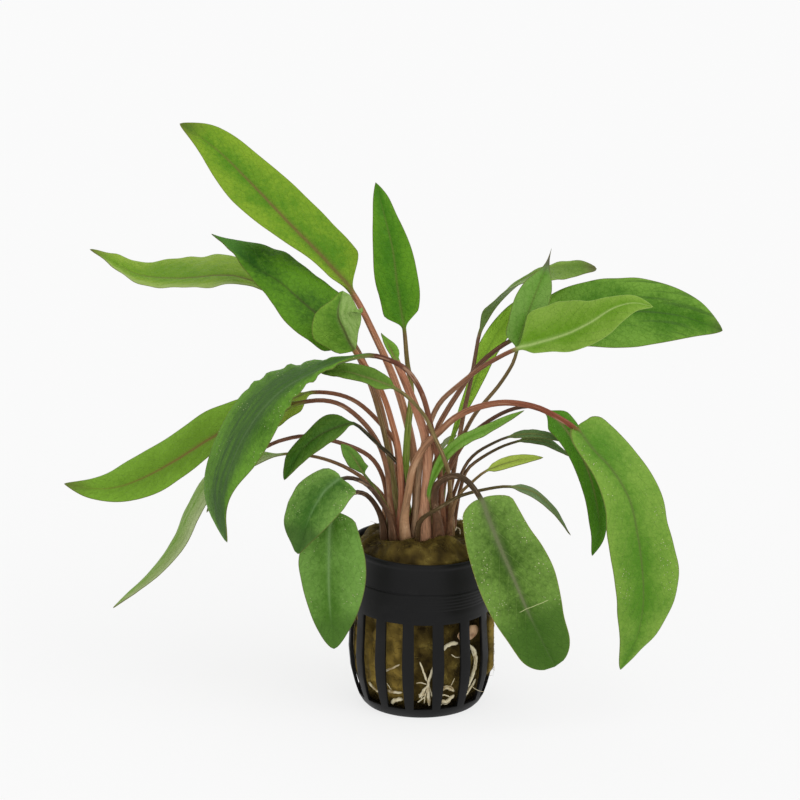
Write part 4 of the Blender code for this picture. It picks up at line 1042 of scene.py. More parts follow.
# %% The last leaves
grow_leaves([
    (Leaf("leaf_small_yellow", (9.5, -5.8),
          [(10.5, -7, 70.5), (12.5, -8, 77.5), (17.5, -10, 83.5), (22.5, -11, 88)],
          [(32.5, -12, 92), (42, -13, 93.5)],
          [(0, -0.6, 0.8), (0, -0.6, 0.8)], 5, thick=(1.6, 0.9), ripple=(0.1, 3, 1)),
     Look((170, 190, 84), (148, 170, 64), stalk_top=(132, 110, 66), stalk_foot=(152, 110, 84),
          rib_width=0.3)),
    (Leaf("leaf_narrow_right", (-1.6, -10.5),
          [(-0.5, -12, 70), (6.5, -13.5, 75.5), (13, -15, 80), (23.5, -17, 83.5), (30.5, -18, 84.5)],
          [(39, -20, 83), (45, -21, 77.5), (51.5, -22, 68)],
          [(0.2, -0.6, 0.8), (0.4, -0.6, 0.6)], 4.5, thick=(1.6, 1.0), ripple=(0.1, 3, 1),
          sides=((1, 1.1, 1.2, 0.9, 0.6, 0.4, 0.4), (1.2, 0.8, 0.5, 0.5, 0.7, 0.5, 0.4))),
     Look((112, 134, 92), (92, 116, 70), stalk_top=(88, 80, 46), stalk_foot=(86, 66, 42), rib_width=0.4,
          tip=(74, 74, 54), tip_at=0.85)),
    (Leaf("leaf_front_right", (6.0, -9.0),
          [(5.5, -9.5, 69.5), (4.5, -10, 77), (5.5, -12, 83.5), (11, -15, 87.5), (15, -17.5, 87),
          (18.4, -20.5, 84), (20.3, -22.5, 81.5)],
          [(22.5, -25.5, 76.7), (26.5, -30, 67.5), (31.3, -33, 56.8), (36.5, -35, 44.7), (45.9, -36, 25)],
          [(0.15, -0.9, 0.45), (0.1, -1, 0.15)], 27, widest=0.5, taper=0.42, thick=(3.0, 1.9),
          ripple=(0.15, 4, 1), cup=0.1, lobe=5.5, rise=0.5,
          sides=((0.6, 0.82, 0.9, 0.98, 1.0, 1.02, 1.3), (0.85, 0.86, 1.0, 1.1, 1.08, 1.0, 1.25))),
     Look((113, 148, 62), (50, 81, 12), rib=(104, 112, 76), stalk_top=(66, 54, 38),
          stalk_foot=(116, 82, 60), rib_width=1.9, rib_reach=1.2, veins=1.0, drops=1.2,
          margin=(122, 124, 52), tip=(56, 92, 22), tip_at=0.6, scratch=1.0)),
    (Leaf("leaf_behind_small", (-0.8, 5.0),
          [(1, 6, 71.5), (3, 8, 80), (5, 9, 86)],
          [(8, 14, 89.5), (12.5, 19, 91.5)],
          [(0.2, 0.8, 0.5), (0.2, 0.8, 0.5)], 7, thick=(1.6, 1.0), ripple=(0.1, 3, 1)),
     Look((90, 122, 50), (70, 102, 36), stalk_top=(110, 100, 56), rib_width=0.4)),
    (Leaf("leaf_left_low", (-11.0, 2.6),
          [(-12, 3.4, 73), (-14, 3, 82.5), (-18.5, 1.5, 89.5), (-28.5, -1, 95), (-40.5, -3, 98),
          (-49, -5, 97), (-54, -6, 95)],
          [(-59.5, -8, 92), (-65.5, -11, 87), (-71.5, -14, 80), (-74.5, -15, 74)],
          [(-0.3, -0.6, 0.6), (-0.3, -0.6, 0.6)], 5.5, thick=(1.8, 1.3), ripple=(0.2, 4, 1)),
     Look((114, 130, 76), (92, 108, 56), stalk_top=(118, 80, 64), stalk_foot=(152, 106, 80),
          rib_width=0.5)),
])

# %% [markdown]
# ## The net pot
#
# The pot is moulded black plastic. Its outline is drawn once, from the foot up the outside, over the
# rim and down the inside, by extruding a point from corner to corner. Spin turns the outline round
# the axis. A cylinder pulled into shape would do as well, but an outline is easier to measure. A
# shallow groove marks the foot of the collar, and a few fine rings run below it.

# %% The pot's outline
FLOOR = 1.4                # height of the floor's upper side
SLOT_TOP, SLOT_BOTTOM = 36.0, 3.8
COLLAR_FOOT = 46.6
SIDE = [(19.8, 0.0), (21.4, 1.2), (23.4, 6.0), (25.1, 13.0), (25.7, 20.0), (24.9, SLOT_TOP),
        (24.6, COLLAR_FOOT)]             # radius and height, from the foot to the collar
side_radii, side_heights = zip(*SIDE)
RING_TOP, RING_STEP, RINGS, RING_DEPTH = 45.4, 1.15, 5, 0.12     # the fine rings below the collar
POT_STEPS = 135            # faces round the pot, nine for a bar and its slot


def turn_outline(name, outline, steps):
    """Draws a closed outline of radius and height by extruding a point, and spins it round the axis."""
    clear_selection()
    bpy.ops.mesh.primitive_plane_add(size=0.01)
    piece = bpy.context.object
    piece.name = piece.data.name = name
    bpy.ops.object.mode_set(mode="EDIT")
    bpy.ops.mesh.select_all(action="SELECT")
    bpy.ops.mesh.merge(type="CENTER")
    bpy.ops.transform.translate(value=(outline[0][0] * MM, 0, outline[0][1] * MM))
    for start, end in zip(outline, outline[1:]):
        step = ((end[0] - start[0]) * MM, 0, (end[1] - start[1]) * MM)
        bpy.ops.mesh.extrude_region_move(TRANSFORM_OT_translate={"value": step})
    bpy.ops.mesh.select_all(action="SELECT")
    bpy.ops.mesh.spin(steps=steps, angle=2 * math.pi, center=(0, 0, 0), axis=(0, 0, 1))
    bpy.ops.object.mode_set(mode="OBJECT")
    in_edit_mode(piece, weld, face_out)
    return piece


def wall_radius(height):
    """Radius of the pot's outside at a height."""
    return float(np.interp(height, side_heights, side_radii))


rings_at = [RING_TOP - RING_STEP * k for k in range(RINGS)]
up = [(18.8, 0.25), (19.2, 0.0), (20.1, 0.0), (21.2, 1.1), (22.3, 3.0)]
up += [(wall_radius(z), z) for z in (5, 7, 9, 11, 13, 15, 17, 20, 23, 26, 29, 32, 35, 37, 38.5)]
for height in rings_at[::-1]:
    radius = wall_radius(height)
    up += [(radius, height - 0.35), (radius - RING_DEPTH, height - 0.08),
           (radius - RING_DEPTH, height + 0.08), (radius, height + 0.35)]
up += [(24.6, 46.2), (24.35, 46.5), (24.35, 46.8), (24.62, 47.1), (24.55, 52.0), (24.5, 55.4),
       (24.62, 56.0), (24.95, 56.5), (25.0, 57.3), (24.8, 57.8), (24.4, 58.0), (23.95, 57.9),
       (23.7, 57.5)]
down = [(23.5, 56.0), (23.45, COLLAR_FOOT), (23.8, SLOT_TOP), (24.5, 24.0), (24.6, 20.0), (24.0, 13.0),
        (22.3, 6.0), (20.4, 1.9), (19.6, FLOOR), (17.0, FLOOR), (8.0, FLOOR), (0.0, FLOOR)]
pot = turn_outline("net_pot", [(0.0, 0.25), (8.0, 0.25), (17.0, 0.25)] + up + down, POT_STEPS)
print("turned pot with", len(pot.data.polygons), "faces")

# %% [markdown]
# ## The slots
#
# Fifteen long slots run round the basket and six short ones lie in its floor. A real mould leaves them
# open; here blocks are joined into one cutter and taken away by a Boolean modifier, which keeps the
# bars as smooth as the wall. Bevel then rounds their edges a little.

# %% Slots
SLOTS, SLOT_WIDTH = 15, 6.5
FLOOR_SLOTS, FLOOR_SLOT_WIDTH = 6, 3.4
SLOT_TURN = 1.3            # degrees by which the basket is turned
EDGE_ROUND, EDGE_ANGLE = 0.25, 50        # millimetres, and the least angle of an edge to round


def slot_block(length, width, low, high, centre, degrees):
    """A block that points outward at an angle, for cutting one slot."""
    turn = math.radians(degrees)
    bpy.ops.mesh.primitive_cube_add(
        size=MM, rotation=(0, 0, turn), scale=(width, length, high - low),
        location=(centre * MM * math.sin(turn), -centre * MM * math.cos(turn), (low + high) / 2 * MM))
    return bpy.context.object


clear_selection()
blocks = [slot_block(12.0, SLOT_WIDTH, SLOT_BOTTOM, SLOT_TOP, 23.7, SLOT_TURN + 360 * k / SLOTS)
          for k in range(SLOTS)]
blocks += [slot_block(8.0, FLOOR_SLOT_WIDTH, -2.0, 2.4, 12.0, 360 * k / FLOOR_SLOTS)
           for k in range(FLOOR_SLOTS)]
clear_selection()
for block in blocks:
    block.select_set(True)
bpy.context.view_layer.objects.active = blocks[0]
bpy.ops.object.join()
cutter = bpy.context.object
clear_selection()
bpy.context.view_layer.objects.active = pot
pot.select_set(True)
bpy.ops.object.modifier_add(type="BOOLEAN")
cut = pot.modifiers[-1]
cut.operation, cut.solver, cut.object = "DIFFERENCE", "EXACT", cutter
bpy.ops.object.modifier_apply(modifier=cut.name)
bpy.data.objects.remove(cutter)
bpy.ops.object.modifier_add(type="BEVEL")
soften = pot.modifiers[-1]
soften.width, soften.segments, soften.limit_method = EDGE_ROUND * MM, 2, "ANGLE"
soften.angle_limit = math.radians(EDGE_ANGLE)
bpy.ops.object.modifier_apply(modifier=soften.name)
print(len(blocks), "slots cut")

# %% [markdown]
# ## Wear and a slight lean
#
# The fine rings show at the right and are nearly gone at the left, so there each point of a ring is
# moved back out to the wall. The soft plastic also leans a little: the higher a point lies and the
# further to the right, the more it sinks.

# %% Wear and lean
POT_HEIGHT = 58.0
RIM_DROP = 0.04            # how far the right side of the rim sinks, as a share of its radius
RING_ZONE = (39.5, 46.2)   # heights between which the rings lie
WORN_TO = (-25.0, 20.0)    # degrees round the pot; worn to the left of them

for vertex in pot.data.vertices:
    x, y, z = vertex.co / MM
    sunk = wall_radius(z) - math.hypot(x, y)
    if RING_ZONE[0] < z < RING_ZONE[1] and 0.0 < sunk < 0.3:
        worn = 1.0 - float(step_up(np.degrees(np.arctan2(x, -y)), *WORN_TO))
        outward_by = 1 + worn * sunk / 24.6
        vertex.co.x *= outward_by
        vertex.co.y *= outward_by
    vertex.co.z -= RIM_DROP * vertex.co.x * vertex.co.z / (POT_HEIGHT * MM)
bpy.ops.object.shade_smooth_by_angle(angle=math.radians(35))
print("pot with", len(pot.data.polygons), "faces")

# %% [markdown]
# ## Black plastic
#
# The plastic is a soft black with a dull shine. Handling and dried water leave it a little cloudy, so
# the shine changes slowly from place to place, with faint grey smears.

# %% Pot finish
plastic, given = new_group("black_plastic", [], ["Black", "Smear"])
smear = fade(plastic, noise(plastic, 90, 5, rough=0.6), 0.5, 0.75)
speck = noise(plastic, 1500, 2)
plastic_tone = blend(plastic, times(plastic, smear, 0.6), given["Black"], given["Smear"])
shine = calc(plastic, "ADD", fade(plastic, noise(plastic, 45, 3), 0.35, 0.65, 0.42, 0.58),
             times(plastic, speck, 0.06))
finish_group(plastic, plastic_tone, shine, calc(plastic, "ADD", smear, times(plastic, speck, 0.5)))
blacks = {"Black": (0.0035, 0.0035, 0.0037, 1), "Smear": (0.009, 0.009, 0.009, 1)}
finish_piece(pot, finish_from("pot_finish", plastic, blacks, 0.00004, Specular_IOR_Level=0.2), "pot")

# %% [markdown]
# ## The plug of rock wool
#
# The plant grows in a plug of mineral fibre, a loose, lumpy cushion inside the rim. It is turned like
# the pot, with many more points, and the largest lumps on top are pushed up one by one, where the real
# plug has them. Sculpting would do the same by hand.

# %% Wool plug: form
WALL = 1.1                 # thickness of the pot's wall
ROOT_SPACE = 2.35          # the roots run in this space between the wool and the bars
WOOL_STEPS, WOOL_SPACING = 160, 0.9
TOP_LUMPS = [(-52, 19.0, 3.6, 2.6), (-32, 18.6, 3.4, 3.2), (-9, 18.4, 4.2, 3.4), (17, 19.0, 3.6, 2.8),
             (38, 18.0, 4.0, 3.2), (62, 18.5, 3.8, 2.6), (-78, 18.0, 4.2, 2.4), (90, 17.5, 4.4, 2.4),
             (-20, 13.0, 3.0, 2.0), (27, 13.4, 3.2, 2.2), (118, 17.0, 4.0, 2.0), (150, 17.5, 5.0, 2.4),
             (-112, 17.5, 4.4, 2.0), (-150, 16.0, 5.0, 2.0)]     # degrees, radius, width, height


def inner_radius(height):
    """Radius of the pot's inner side at a height."""
    return np.interp(height, side_heights, side_radii) - WALL


def denser_outline(points, spacing):
    """The same outline with points added along its longer straight parts."""
    out = []
    for (r0, z0), (r1, z1) in zip(points, points[1:]):
        count = max(1, round(math.hypot(r1 - r0, z1 - z0) / spacing))
        out += [(r0 + (r1 - r0) * k / count, z0 + (z1 - z0) * k / count) for k in range(count)]
    return out + [points[-1]]


def points_of(piece):
    """A mesh's points as an array in millimetres."""
    points = np.empty(len(piece.data.vertices) * 3, np.float32)
    piece.data.vertices.foreach_get("co", points)
    return points.reshape(-1, 3).astype(float) / MM


def set_points(piece, points):
    """Puts a mesh's points at places in millimetres."""
    piece.data.vertices.foreach_set("co", (points * MM).astype(np.float32).ravel())
    piece.data.update()


wool_side = [(float(inner_radius(z)) - ROOT_SPACE, z) for z in (6, 12, 18, 24, 30, 35)]
wool_top = [(r, mound(r, 0.0)) for r in (COLLAR_RADIUS, 21.5, 19.0, 15.0, 10.0, 5.0, 0.0)]
wool_outline = [(0.0, 1.9), (18.8, 1.9), *wool_side, (22.9, 41.0), (22.9, 55.0), *wool_top]
wool = turn_outline("wool_plug", denser_outline(wool_outline, WOOL_SPACING), WOOL_STEPS)

points = points_of(wool)
for angle, radius, width, rise in TOP_LUMPS:
    turn_to = math.radians(angle)
    away = np.hypot(points[:, 0] - radius * math.sin(turn_to), points[:, 1] + radius * math.cos(turn_to))
    points[:, 2] += rise * np.exp(-(away / width) ** 2) * step_up(points[:, 2], 50, 56)
set_points(wool, points)
smooth_points = points
print("plain wool plug with", len(wool.data.polygons), "faces and", len(TOP_LUMPS), "large lumps")

# %% [markdown]
# ## Lumps and grain
#
# Two Displace modifiers roughen the plug: one lifts and sinks lumps the size of a pea, the other adds
# grain. The wool is pressed against the inside of the basket, so afterwards its sides are held back
# behind the bars. At the left and right it fills the slots more than at the front, and in one slot on
# the right it swells outward. How far each point was lifted is stored for the material, which paints
# shade into the low places and highlight onto the high ones.

# %% Wool plug: lumps
BULGE_ANGLE, BULGE_RADIUS = 73.5, 26.3
BASKET_TOP = 40            # the slots end a little below this height
SIDE_FILL = 2.3            # how much further out the wool lies at the sides


def roughen(piece, name, lump_size, strength, middle):
    """Applies a Displace modifier with a cloudy texture; sizes in millimetres."""
    texture = bpy.data.textures.new(name, "CLOUDS")
    texture.noise_scale = lump_size * MM
    texture.noise_depth = 2
    clear_selection()
    bpy.context.view_layer.objects.active = piece
    piece.select_set(True)
    bpy.ops.object.modifier_add(type="DISPLACE")
    rough = piece.modifiers[-1]
    rough.texture, rough.strength, rough.mid_level = texture, strength * MM, middle
    bpy.ops.object.modifier_apply(modifier=rough.name)


roughen(wool, "wool_lumps", 5.0, 3.6, 0.62)
roughen(wool, "wool_grain", 1.3, 0.8, 0.55)
points = points_of(wool)
outward_way = unit(smooth_points - np.array([0.0, 0.0, 35.0]))
lift_store = wool.data.attributes.new("wool_lift", "FLOAT", "POINT")
lifts = ((points - smooth_points) * outward_way).sum(axis=1)
lift_store.data.foreach_set("value", lifts.astype(np.float32))
angles = np.degrees(np.arctan2(points[:, 0], -points[:, 1]))
radii = np.hypot(points[:, 0], points[:, 1])
swell = np.exp(-((angles - BULGE_ANGLE) / 5.6) ** 4) * step_up(points[:, 2], 9, 15) * (
    1 - step_up(points[:, 2], 31, 35.5))
limit = inner_radius(points[:, 2]) - 0.55
filled = step_up(np.abs(angles), 60, 74) * (1 - step_up(np.abs(angles), 105, 125))
limit = np.where(points[:, 2] < BASKET_TOP, limit - 1.0 + filled, limit)
radii = radii + SIDE_FILL * filled * (points[:, 2] < BASKET_TOP) * (radii > 18)
wanted = np.minimum(radii, limit)
wanted = wanted + swell * (BULGE_RADIUS + 0.5 * (radii - limit + 1.0).clip(-0.6, 0.4) - wanted)
scale = np.where(radii > 12, wanted / np.maximum(np.hypot(points[:, 0], points[:, 1]), 1e-6), 1.0)
points[:, :2] *= scale[:, None]
points[:, 2] = np.where(smooth_points[:, 2] < 2.5, 1.6, np.maximum(points[:, 2], 1.6))
set_points(wool, points)
in_edit_mode(wool, face_out)
bpy.ops.object.shade_smooth()
print("wool with", len(wool.data.polygons), "faces, top at", round(points[:, 2].max(), 1), "mm")

# %% [markdown]
# ## Fibres
#
# What makes the plug look like wool is its fluff: thousands of fine fibres, a few millimetres long,
# that lie flat on it in all directions. They are too many and too thin to draw one by one, and hair
# particles would not be saved with the model. So each is a thin three-sided strand that starts on a
# face of the plug, chosen by chance. More start on top than behind the bars, and none near the rim.

# %% Where the fibres start
FIBRES, FIBRE_STEPS = 4200, 7
TOP_FROM, BASKET_TO = 52, 38        # heights; the closed wall hides the wool between them
chance = np.random.default_rng(7)
spots_on_wool = np.empty(len(wool.data.polygons) * 3, np.float32)
wool.data.polygons.foreach_get("center", spots_on_wool)
normals_on_wool = np.empty_like(spots_on_wool)
wool.data.polygons.foreach_get("normal", normals_on_wool)
spots_on_wool = spots_on_wool.reshape(-1, 3).astype(float) / MM
normals_on_wool = normals_on_wool.reshape(-1, 3).astype(float)
weight = np.array([face.area for face in wool.data.polygons])
heights = spots_on_wool[:, 2]
weight = weight * np.where(heights > TOP_FROM, 2.4, 1.0) * (heights > 4)
weight = weight * np.where((heights > BASKET_TO) & (heights < TOP_FROM), 0.0, 1.0)
near_rim = (np.hypot(spots_on_wool[:, 0], spots_on_wool[:, 1]) > 19.5) & (heights > TOP_FROM)
weight = weight * np.where(near_rim, 0.0, 1.0)
chosen = chance.choice(len(weight), FIBRES, p=weight / weight.sum())
place = spots_on_wool[chosen] + normals_on_wool[chosen] * 0.05
ahead_way = unit(np.cross(normals_on_wool[chosen], chance.normal(size=(FIBRES, 3))))
bend_way = chance.normal(size=(FIBRES, 3)) * 0.22
length = chance.uniform(1.6, 4.6, FIBRES)
thin = chance.uniform(0.035, 0.075, FIBRES)
print(FIBRES, "fibres start on", len(np.unique(chosen)), "faces of the wool")

# %% [markdown]
# ## How the fibres wander
#
# Step by step each fibre goes on in its own direction, with a bend and a little chance, first away
# from the wool and then back to it. It stays inside the wall of the pot, except where the wool swells
# out, and never climbs far above its start, so no fibre stands out against the light. A ring of three
# corners is kept at every step, and the rings of all fibres are joined into one mesh.

# %% Wool fibres
highest = place[:, 2] + 0.6
corners = []
for step in range(FIBRE_STEPS):
    taper = 1 - 0.8 * abs(step / (FIBRE_STEPS - 1) - 0.4)
    side_way = unit(np.cross(ahead_way, normals_on_wool[chosen]))
    up_way = unit(np.cross(side_way, ahead_way))
    for corner in range(3):
        turn_by = 2 * math.pi * corner / 3
        corners.append(place + (side_way * math.cos(turn_by) + up_way * math.sin(turn_by))
                       * (thin * taper)[:, None])
    place = place + ahead_way * (length / FIBRE_STEPS)[:, None]
    place[:, 2] = np.minimum(place[:, 2], highest)
    far = np.hypot(place[:, 0], place[:, 1])
    inside = np.where(place[:, 2] < 56.5, inner_radius(place[:, 2]) - 0.25, 23.4)
    bulging = np.abs(np.degrees(np.arctan2(place[:, 0], -place[:, 1])) - BULGE_ANGLE) < 6
    inside = np.where(bulging & (place[:, 2] < BASKET_TOP), BULGE_RADIUS + 0.3, inside)
    hold = np.minimum(far, inside)
    place[:, :2] *= (hold / far)[:, None]
    lift = normals_on_wool[chosen] * (0.16 - 0.1 * step)
    ahead_way = unit(ahead_way + bend_way + lift * 0.25 + chance.normal(size=(FIBRES, 3)) * 0.12)
corners = np.stack(corners, axis=1)                     # fibre, corner, xyz
per = FIBRE_STEPS * 3
quads = [(3 * s + c, 3 * s + (c + 1) % 3, 3 * s + 3 + (c + 1) % 3, 3 * s + 3 + c)
         for s in range(FIBRE_STEPS - 1) for c in range(3)]
all_quads = (np.array(quads)[None] + (np.arange(FIBRES) * per)[:, None, None]).reshape(-1, 4)
fluff_mesh = bpy.data.meshes.new("wool_fibres")
fluff_mesh.from_pydata((corners.reshape(-1, 3) * MM).tolist(), [], all_quads.tolist())
tone_store = fluff_mesh.attributes.new("fibre_tone", "FLOAT", "POINT")
tone_store.data.foreach_set("value", np.repeat(chance.uniform(0, 1, FIBRES), per).astype(np.float32))
fluff = bpy.data.objects.new("wool_fibres", fluff_mesh)
bpy.context.collection.objects.link(fluff)
in_edit_mode(fluff, fill, face_out)
bpy.ops.object.shade_smooth()
print("fluff with", len(fluff.data.polygons), "faces")

# %% [markdown]
# ## Wool finish
#
# The wool has soaked up algae and peat: olive-brown, in patches of lighter and darker tone. Shade and
# light are painted into it: its creases and its bottom are painted nearly black as shade, and the tops
# of its lumps are painted paler as highlight. Behind the left slots and where it swells out at the
# right it is a warmer mustard. It has next to no shine.

# %% Wool finish
wool_skin, given = new_group("wool_skin", [], ["Pale", "Mid", "Deep", "Basket", "Bottom Shade"])
place_in = add_node(wool_skin, "ShaderNodeTexCoord").outputs["Object"]
patch = noise(wool_skin, 110, 3)
axes_in = add_node(wool_skin, "ShaderNodeSeparateXYZ", {0: place_in})
height_in, across_in = axes_in.outputs["Z"], axes_in.outputs["X"]
in_basket = fade(wool_skin, height_in, 0.036, 0.048, 1.0, 0.0)
strands = noise(wool_skin, 1300, 5, rough=0.7)
lifted = calc(wool_skin, "ADD", attribute(wool_skin, "wool_lift"), times(wool_skin, patch, 0.9))
# painted shade: the lower a point lies among the lumps, the darker; random patches mix in their own tone
wool_tone = blend(wool_skin, fade(wool_skin, lifted, -1.1, 0.5), given["Deep"], given["Mid"])
# painted highlight: the highest points of the lumps are painted paler
painted_top_highlight = times(wool_skin, fade(wool_skin, lifted, 0.1, 1.3), fade(wool_skin, strands, 0.36, 0.62))
wool_tone = blend(wool_skin, painted_top_highlight, wool_tone, given["Pale"])
mustard = calc(wool_skin, "MAXIMUM", fade(wool_skin, across_in, -0.0095, -0.001, 1.0, 0.0),
               fade(wool_skin, across_in, 0.0234, 0.0242))
mustard = times(wool_skin, mustard, fade(wool_skin, lifted, -0.9, 0.9, 0.3, 0.95))
warm = blend(wool_skin, mustard, wool_tone, given["Basket"])
wool_tone = blend(wool_skin, in_basket, wool_tone, warm)
# painted shade: the wool near the bottom of the basket is painted nearly black
painted_bottom_shade = fade(wool_skin, height_in, 0.0035, 0.0075, 0.85, 0.0)
wool_tone = blend(wool_skin, painted_bottom_shade, wool_tone, given["Bottom Shade"])
finish_group(wool_skin, wool_tone, scaled(wool_skin, strands, 0.1, 0.5), strands)
# Pale is painted highlight on the lumps, Deep is partly painted shade in the creases, and the last tone is
# painted shade at the bottom
olives = {"Pale": screen(134, 118, 58), "Mid": screen(88, 73, 32), "Deep": screen(44, 34, 16),
          "Basket": screen(152, 128, 60), "Bottom Shade": screen(22, 18, 10)}
wool_finish = finish_from("wool_finish", wool_skin, olives, 0.0004, Specular_IOR_Level=0.05)
finish_piece(wool, wool_finish, "rock_wool")

# %% [markdown]
# ## Fibre finish
#
# Each fibre takes one tone between dark brown and straw, from a number by chance that is stored on it.

# %% Fibre finish
fibre_skin, given = new_group("fibre_skin", [], ["Pale", "Mid", "Deep"])
fibre_tone = attribute(fibre_skin, "fibre_tone")
tint = blend(fibre_skin, fade(fibre_skin, fibre_tone, 0.0, 0.55), given["Deep"], given["Mid"])
tint = blend(fibre_skin, fade(fibre_skin, fibre_tone, 0.7, 1.0), tint, given["Pale"])
finish_group(fibre_skin, tint, scaled(fibre_skin, fibre_tone, 0.2, 0.5), fibre_tone)
browns = {"Pale": screen(132, 118, 60), "Mid": screen(94, 79, 35), "Deep": screen(60, 48, 22)}
finish_piece(fluff, finish_from("fibre_finish", fibre_skin, browns, 0.00001, Specular_IOR_Level=0.1))

# %% [markdown]
# ## Roots
#
# The pale roots run between the wool and the bars, so their routes are written as an angle round the
# pot, in degrees from the front, and a height. Each root is rolled like a stalk, with a slightly uneven
# thickness and a few bends of its own, and tapers off at both ends, where it goes back into the wool.

# %% Roots
ROOT_AROUND = 14           # faces round a root
ROOT_STEP = 0.45           # millimetres between its rings
ROOT_INSET = 1.15          # a root's middle lies this far inside the wall

ROOTS = {
    "root_thin_left": ([(-34, 17.0), (-27, 18.6), (-19, 20.6)], (0.8, 0.6)),
    "root_low_left": ([(-30, 4.6), (-25, 6.4), (-18, 7.0)], (1.6, 1.3)),
    "root_left_level": ([(-33, 9.6), (-25, 9.4), (-18, 9.8)], (1.1, 0.8)),
    "root_fork_left": ([(-1.5, 22.0), (1.5, 18.6), (4.4, 14.9)], (0.55, 0.8)),
    "root_fork_right": ([(10.5, 20.8), (8.4, 17.6), (6.0, 14.0), (6.4, 9.5), (7.6, 4.8)], (0.8, 1.4)),
    "root_low_centre": ([(4.8, 12.6), (1.0, 10.6), (-1.8, 8.2)], (0.9, 0.9)),
    "root_thick_right": ([(17.5, 25.6), (24, 27.6), (33, 27.6)], (1.3, 1.5)),
    "root_arc_right": ([(45.5, 25.8), (52.5, 22.4), (54.5, 17.8), (49.5, 12.2), (43.5, 8.0)], (1.5, 1.2)),
    "root_tangle_upper": ([(16, 10.6), (23, 11.4), (31, 9.6)], (1.2, 1.0)),
    "root_tangle_lower": ([(17, 6.6), (24, 5.8), (32, 7.8)], (1.3, 1.2)),
    "root_low_right": ([(45, 6.0), (53, 9.0), (58, 11.4)], (1.1, 0.8)),
}


def round_point(radius, degrees, height):
    """A point on a circle about the pot's axis; zero degrees is the front, positive goes right."""
    turn_to = math.radians(degrees)
    return np.array([radius * math.sin(turn_to), -radius * math.cos(turn_to), height])


def grow_root(name, route, thick, number, around=ROOT_AROUND):
    """A root along a route of points, as a rolled grid."""
    dense, _ = smooth_route(route)
    total = lengths_along(dense)[-1]
    distances = np.linspace(0, total, max(8, round(total / ROOT_STEP)) + 1)
    centres, along = stations_on(dense, distances)
    share = distances / total
    outward = unit(centres * np.array([1.0, 1.0, 0.0]))
    sides = unit(np.cross(along, outward))
    outs = np.cross(sides, along)
    swing = np.sin(distances * 1.9 + number * 2.3) + 0.6 * np.sin(distances * 4.3 + number)
    centres = centres + sides * (0.09 * swing * thick[0])[:, None] * np.sin(np.pi * share)[:, None]
    radius = (thick[0] + (thick[1] - thick[0]) * share) / 2
    ends = np.clip(np.minimum(share, 1 - share) * 9, 0.25, 1.0) ** 0.5
    radius = radius * (1 + 0.05 * np.sin(distances * 3.1 + number * 1.7)) * ends
    turn_to = np.linspace(0, 2 * np.pi, around + 1)
    turn_to[-1] = 0.0
    rings = centres[:, None] + radius[:, None, None] * (
        np.cos(turn_to)[:, None] * outs[:, None] + np.sin(turn_to)[:, None] * sides[:, None])
    return roll(name, rings, {})


def behind_bars(places, deeper=0.0):
    """Route points from angles and heights, in the space where the roots run."""
    return [round_point(float(inner_radius(height)) - ROOT_INSET - deeper, angle, height)
            for angle, height in places]


root_pieces = {name: grow_root(name + "_skin", behind_bars(places), thick, number)
               for number, (name, (places, thick)) in enumerate(ROOTS.items())}
print(len(root_pieces), "roots")

# %% [markdown]
# ## Rootlets
#
# Finer roots branch off the thick ones or cross the slots on their own, most of them thinner than a
# pin. They are rolled in the same way and joined into one piece. Seen from behind, the pot has the
# same kind of roots, so a turned copy of the set goes to the back. One root as thin as a hair has grown
# out between the bars at the right, and two curls lie on top of the wool.

# %% Rootlets
ROOTLETS = [
    ([(-4.6, 14.0), (-0.5, 14.2), (4.4, 13.6)], 0.5), ([(4.6, 13.0), (2.4, 10.4), (-0.6, 7.6)], 0.5),
    ([(5.2, 12.0), (3.4, 9.0), (2.6, 5.8)], 0.45), ([(-2.6, 9.4), (1.5, 9.0), (4.5, 10.2)], 0.5),
    ([(6.4, 12.8), (8.6, 10.4), (9.6, 8.4)], 0.6), ([(26.5, 23.9), (30.5, 22.6), (35, 22.3)], 0.4),
    ([(30, 14.8), (28, 13.0), (26.5, 11.6)], 0.35),
    ([(17, 11.9), (22.5, 12.2), (28.5, 11.2), (31, 9.2)], 0.45),
    ([(16.5, 8.4), (21.5, 8.6), (28, 7.4)], 0.5), ([(16, 5.6), (18.5, 4.9), (20, 4.6)], 0.7),
    ([(48.5, 23.6), (52, 19.4), (51, 15.2)], 0.5), ([(-32, 12.6), (-30, 11.4), (-28, 10.2)], 0.4),
    ([(-56, 10.4), (-48, 8.6), (-40.5, 7.8)], 0.9), ([(-77, 13.6), (-72, 9.6), (-69, 6.0)], 0.9),
    ([(-3.5, 6.2), (0.5, 7.6), (3.5, 8.6)], 0.5), ([(20, 5.2), (25, 4.6), (29, 5.6)], 0.4),
]
HAIR = [(23.3, 50, 9.6), (24.6, 52.5, 8.4), (25.6, 55.5, 7.7), (26.0, 59, 7.1)]   # radius, degrees, z
CURLS = [[(8.8, -2.5, 62.9), (9.9, 1.5, 63.0), (11.6, 3.5, 62.6), (13.3, 0, 62.9), (13.5, -4, 62.4)],
         [(9.2, 4, 62.8), (10.8, 6.5, 63.2), (12.2, 1.5, 62.8), (11.2, -3.2, 62.8)]]
TURN_TO_BACK = 168         # degrees
ROOTLET_DEPTH = -0.1       # beyond the roots; less than 0 is nearer to the bars
ROOTLET_AROUND, HAIR_AROUND = 8, 6

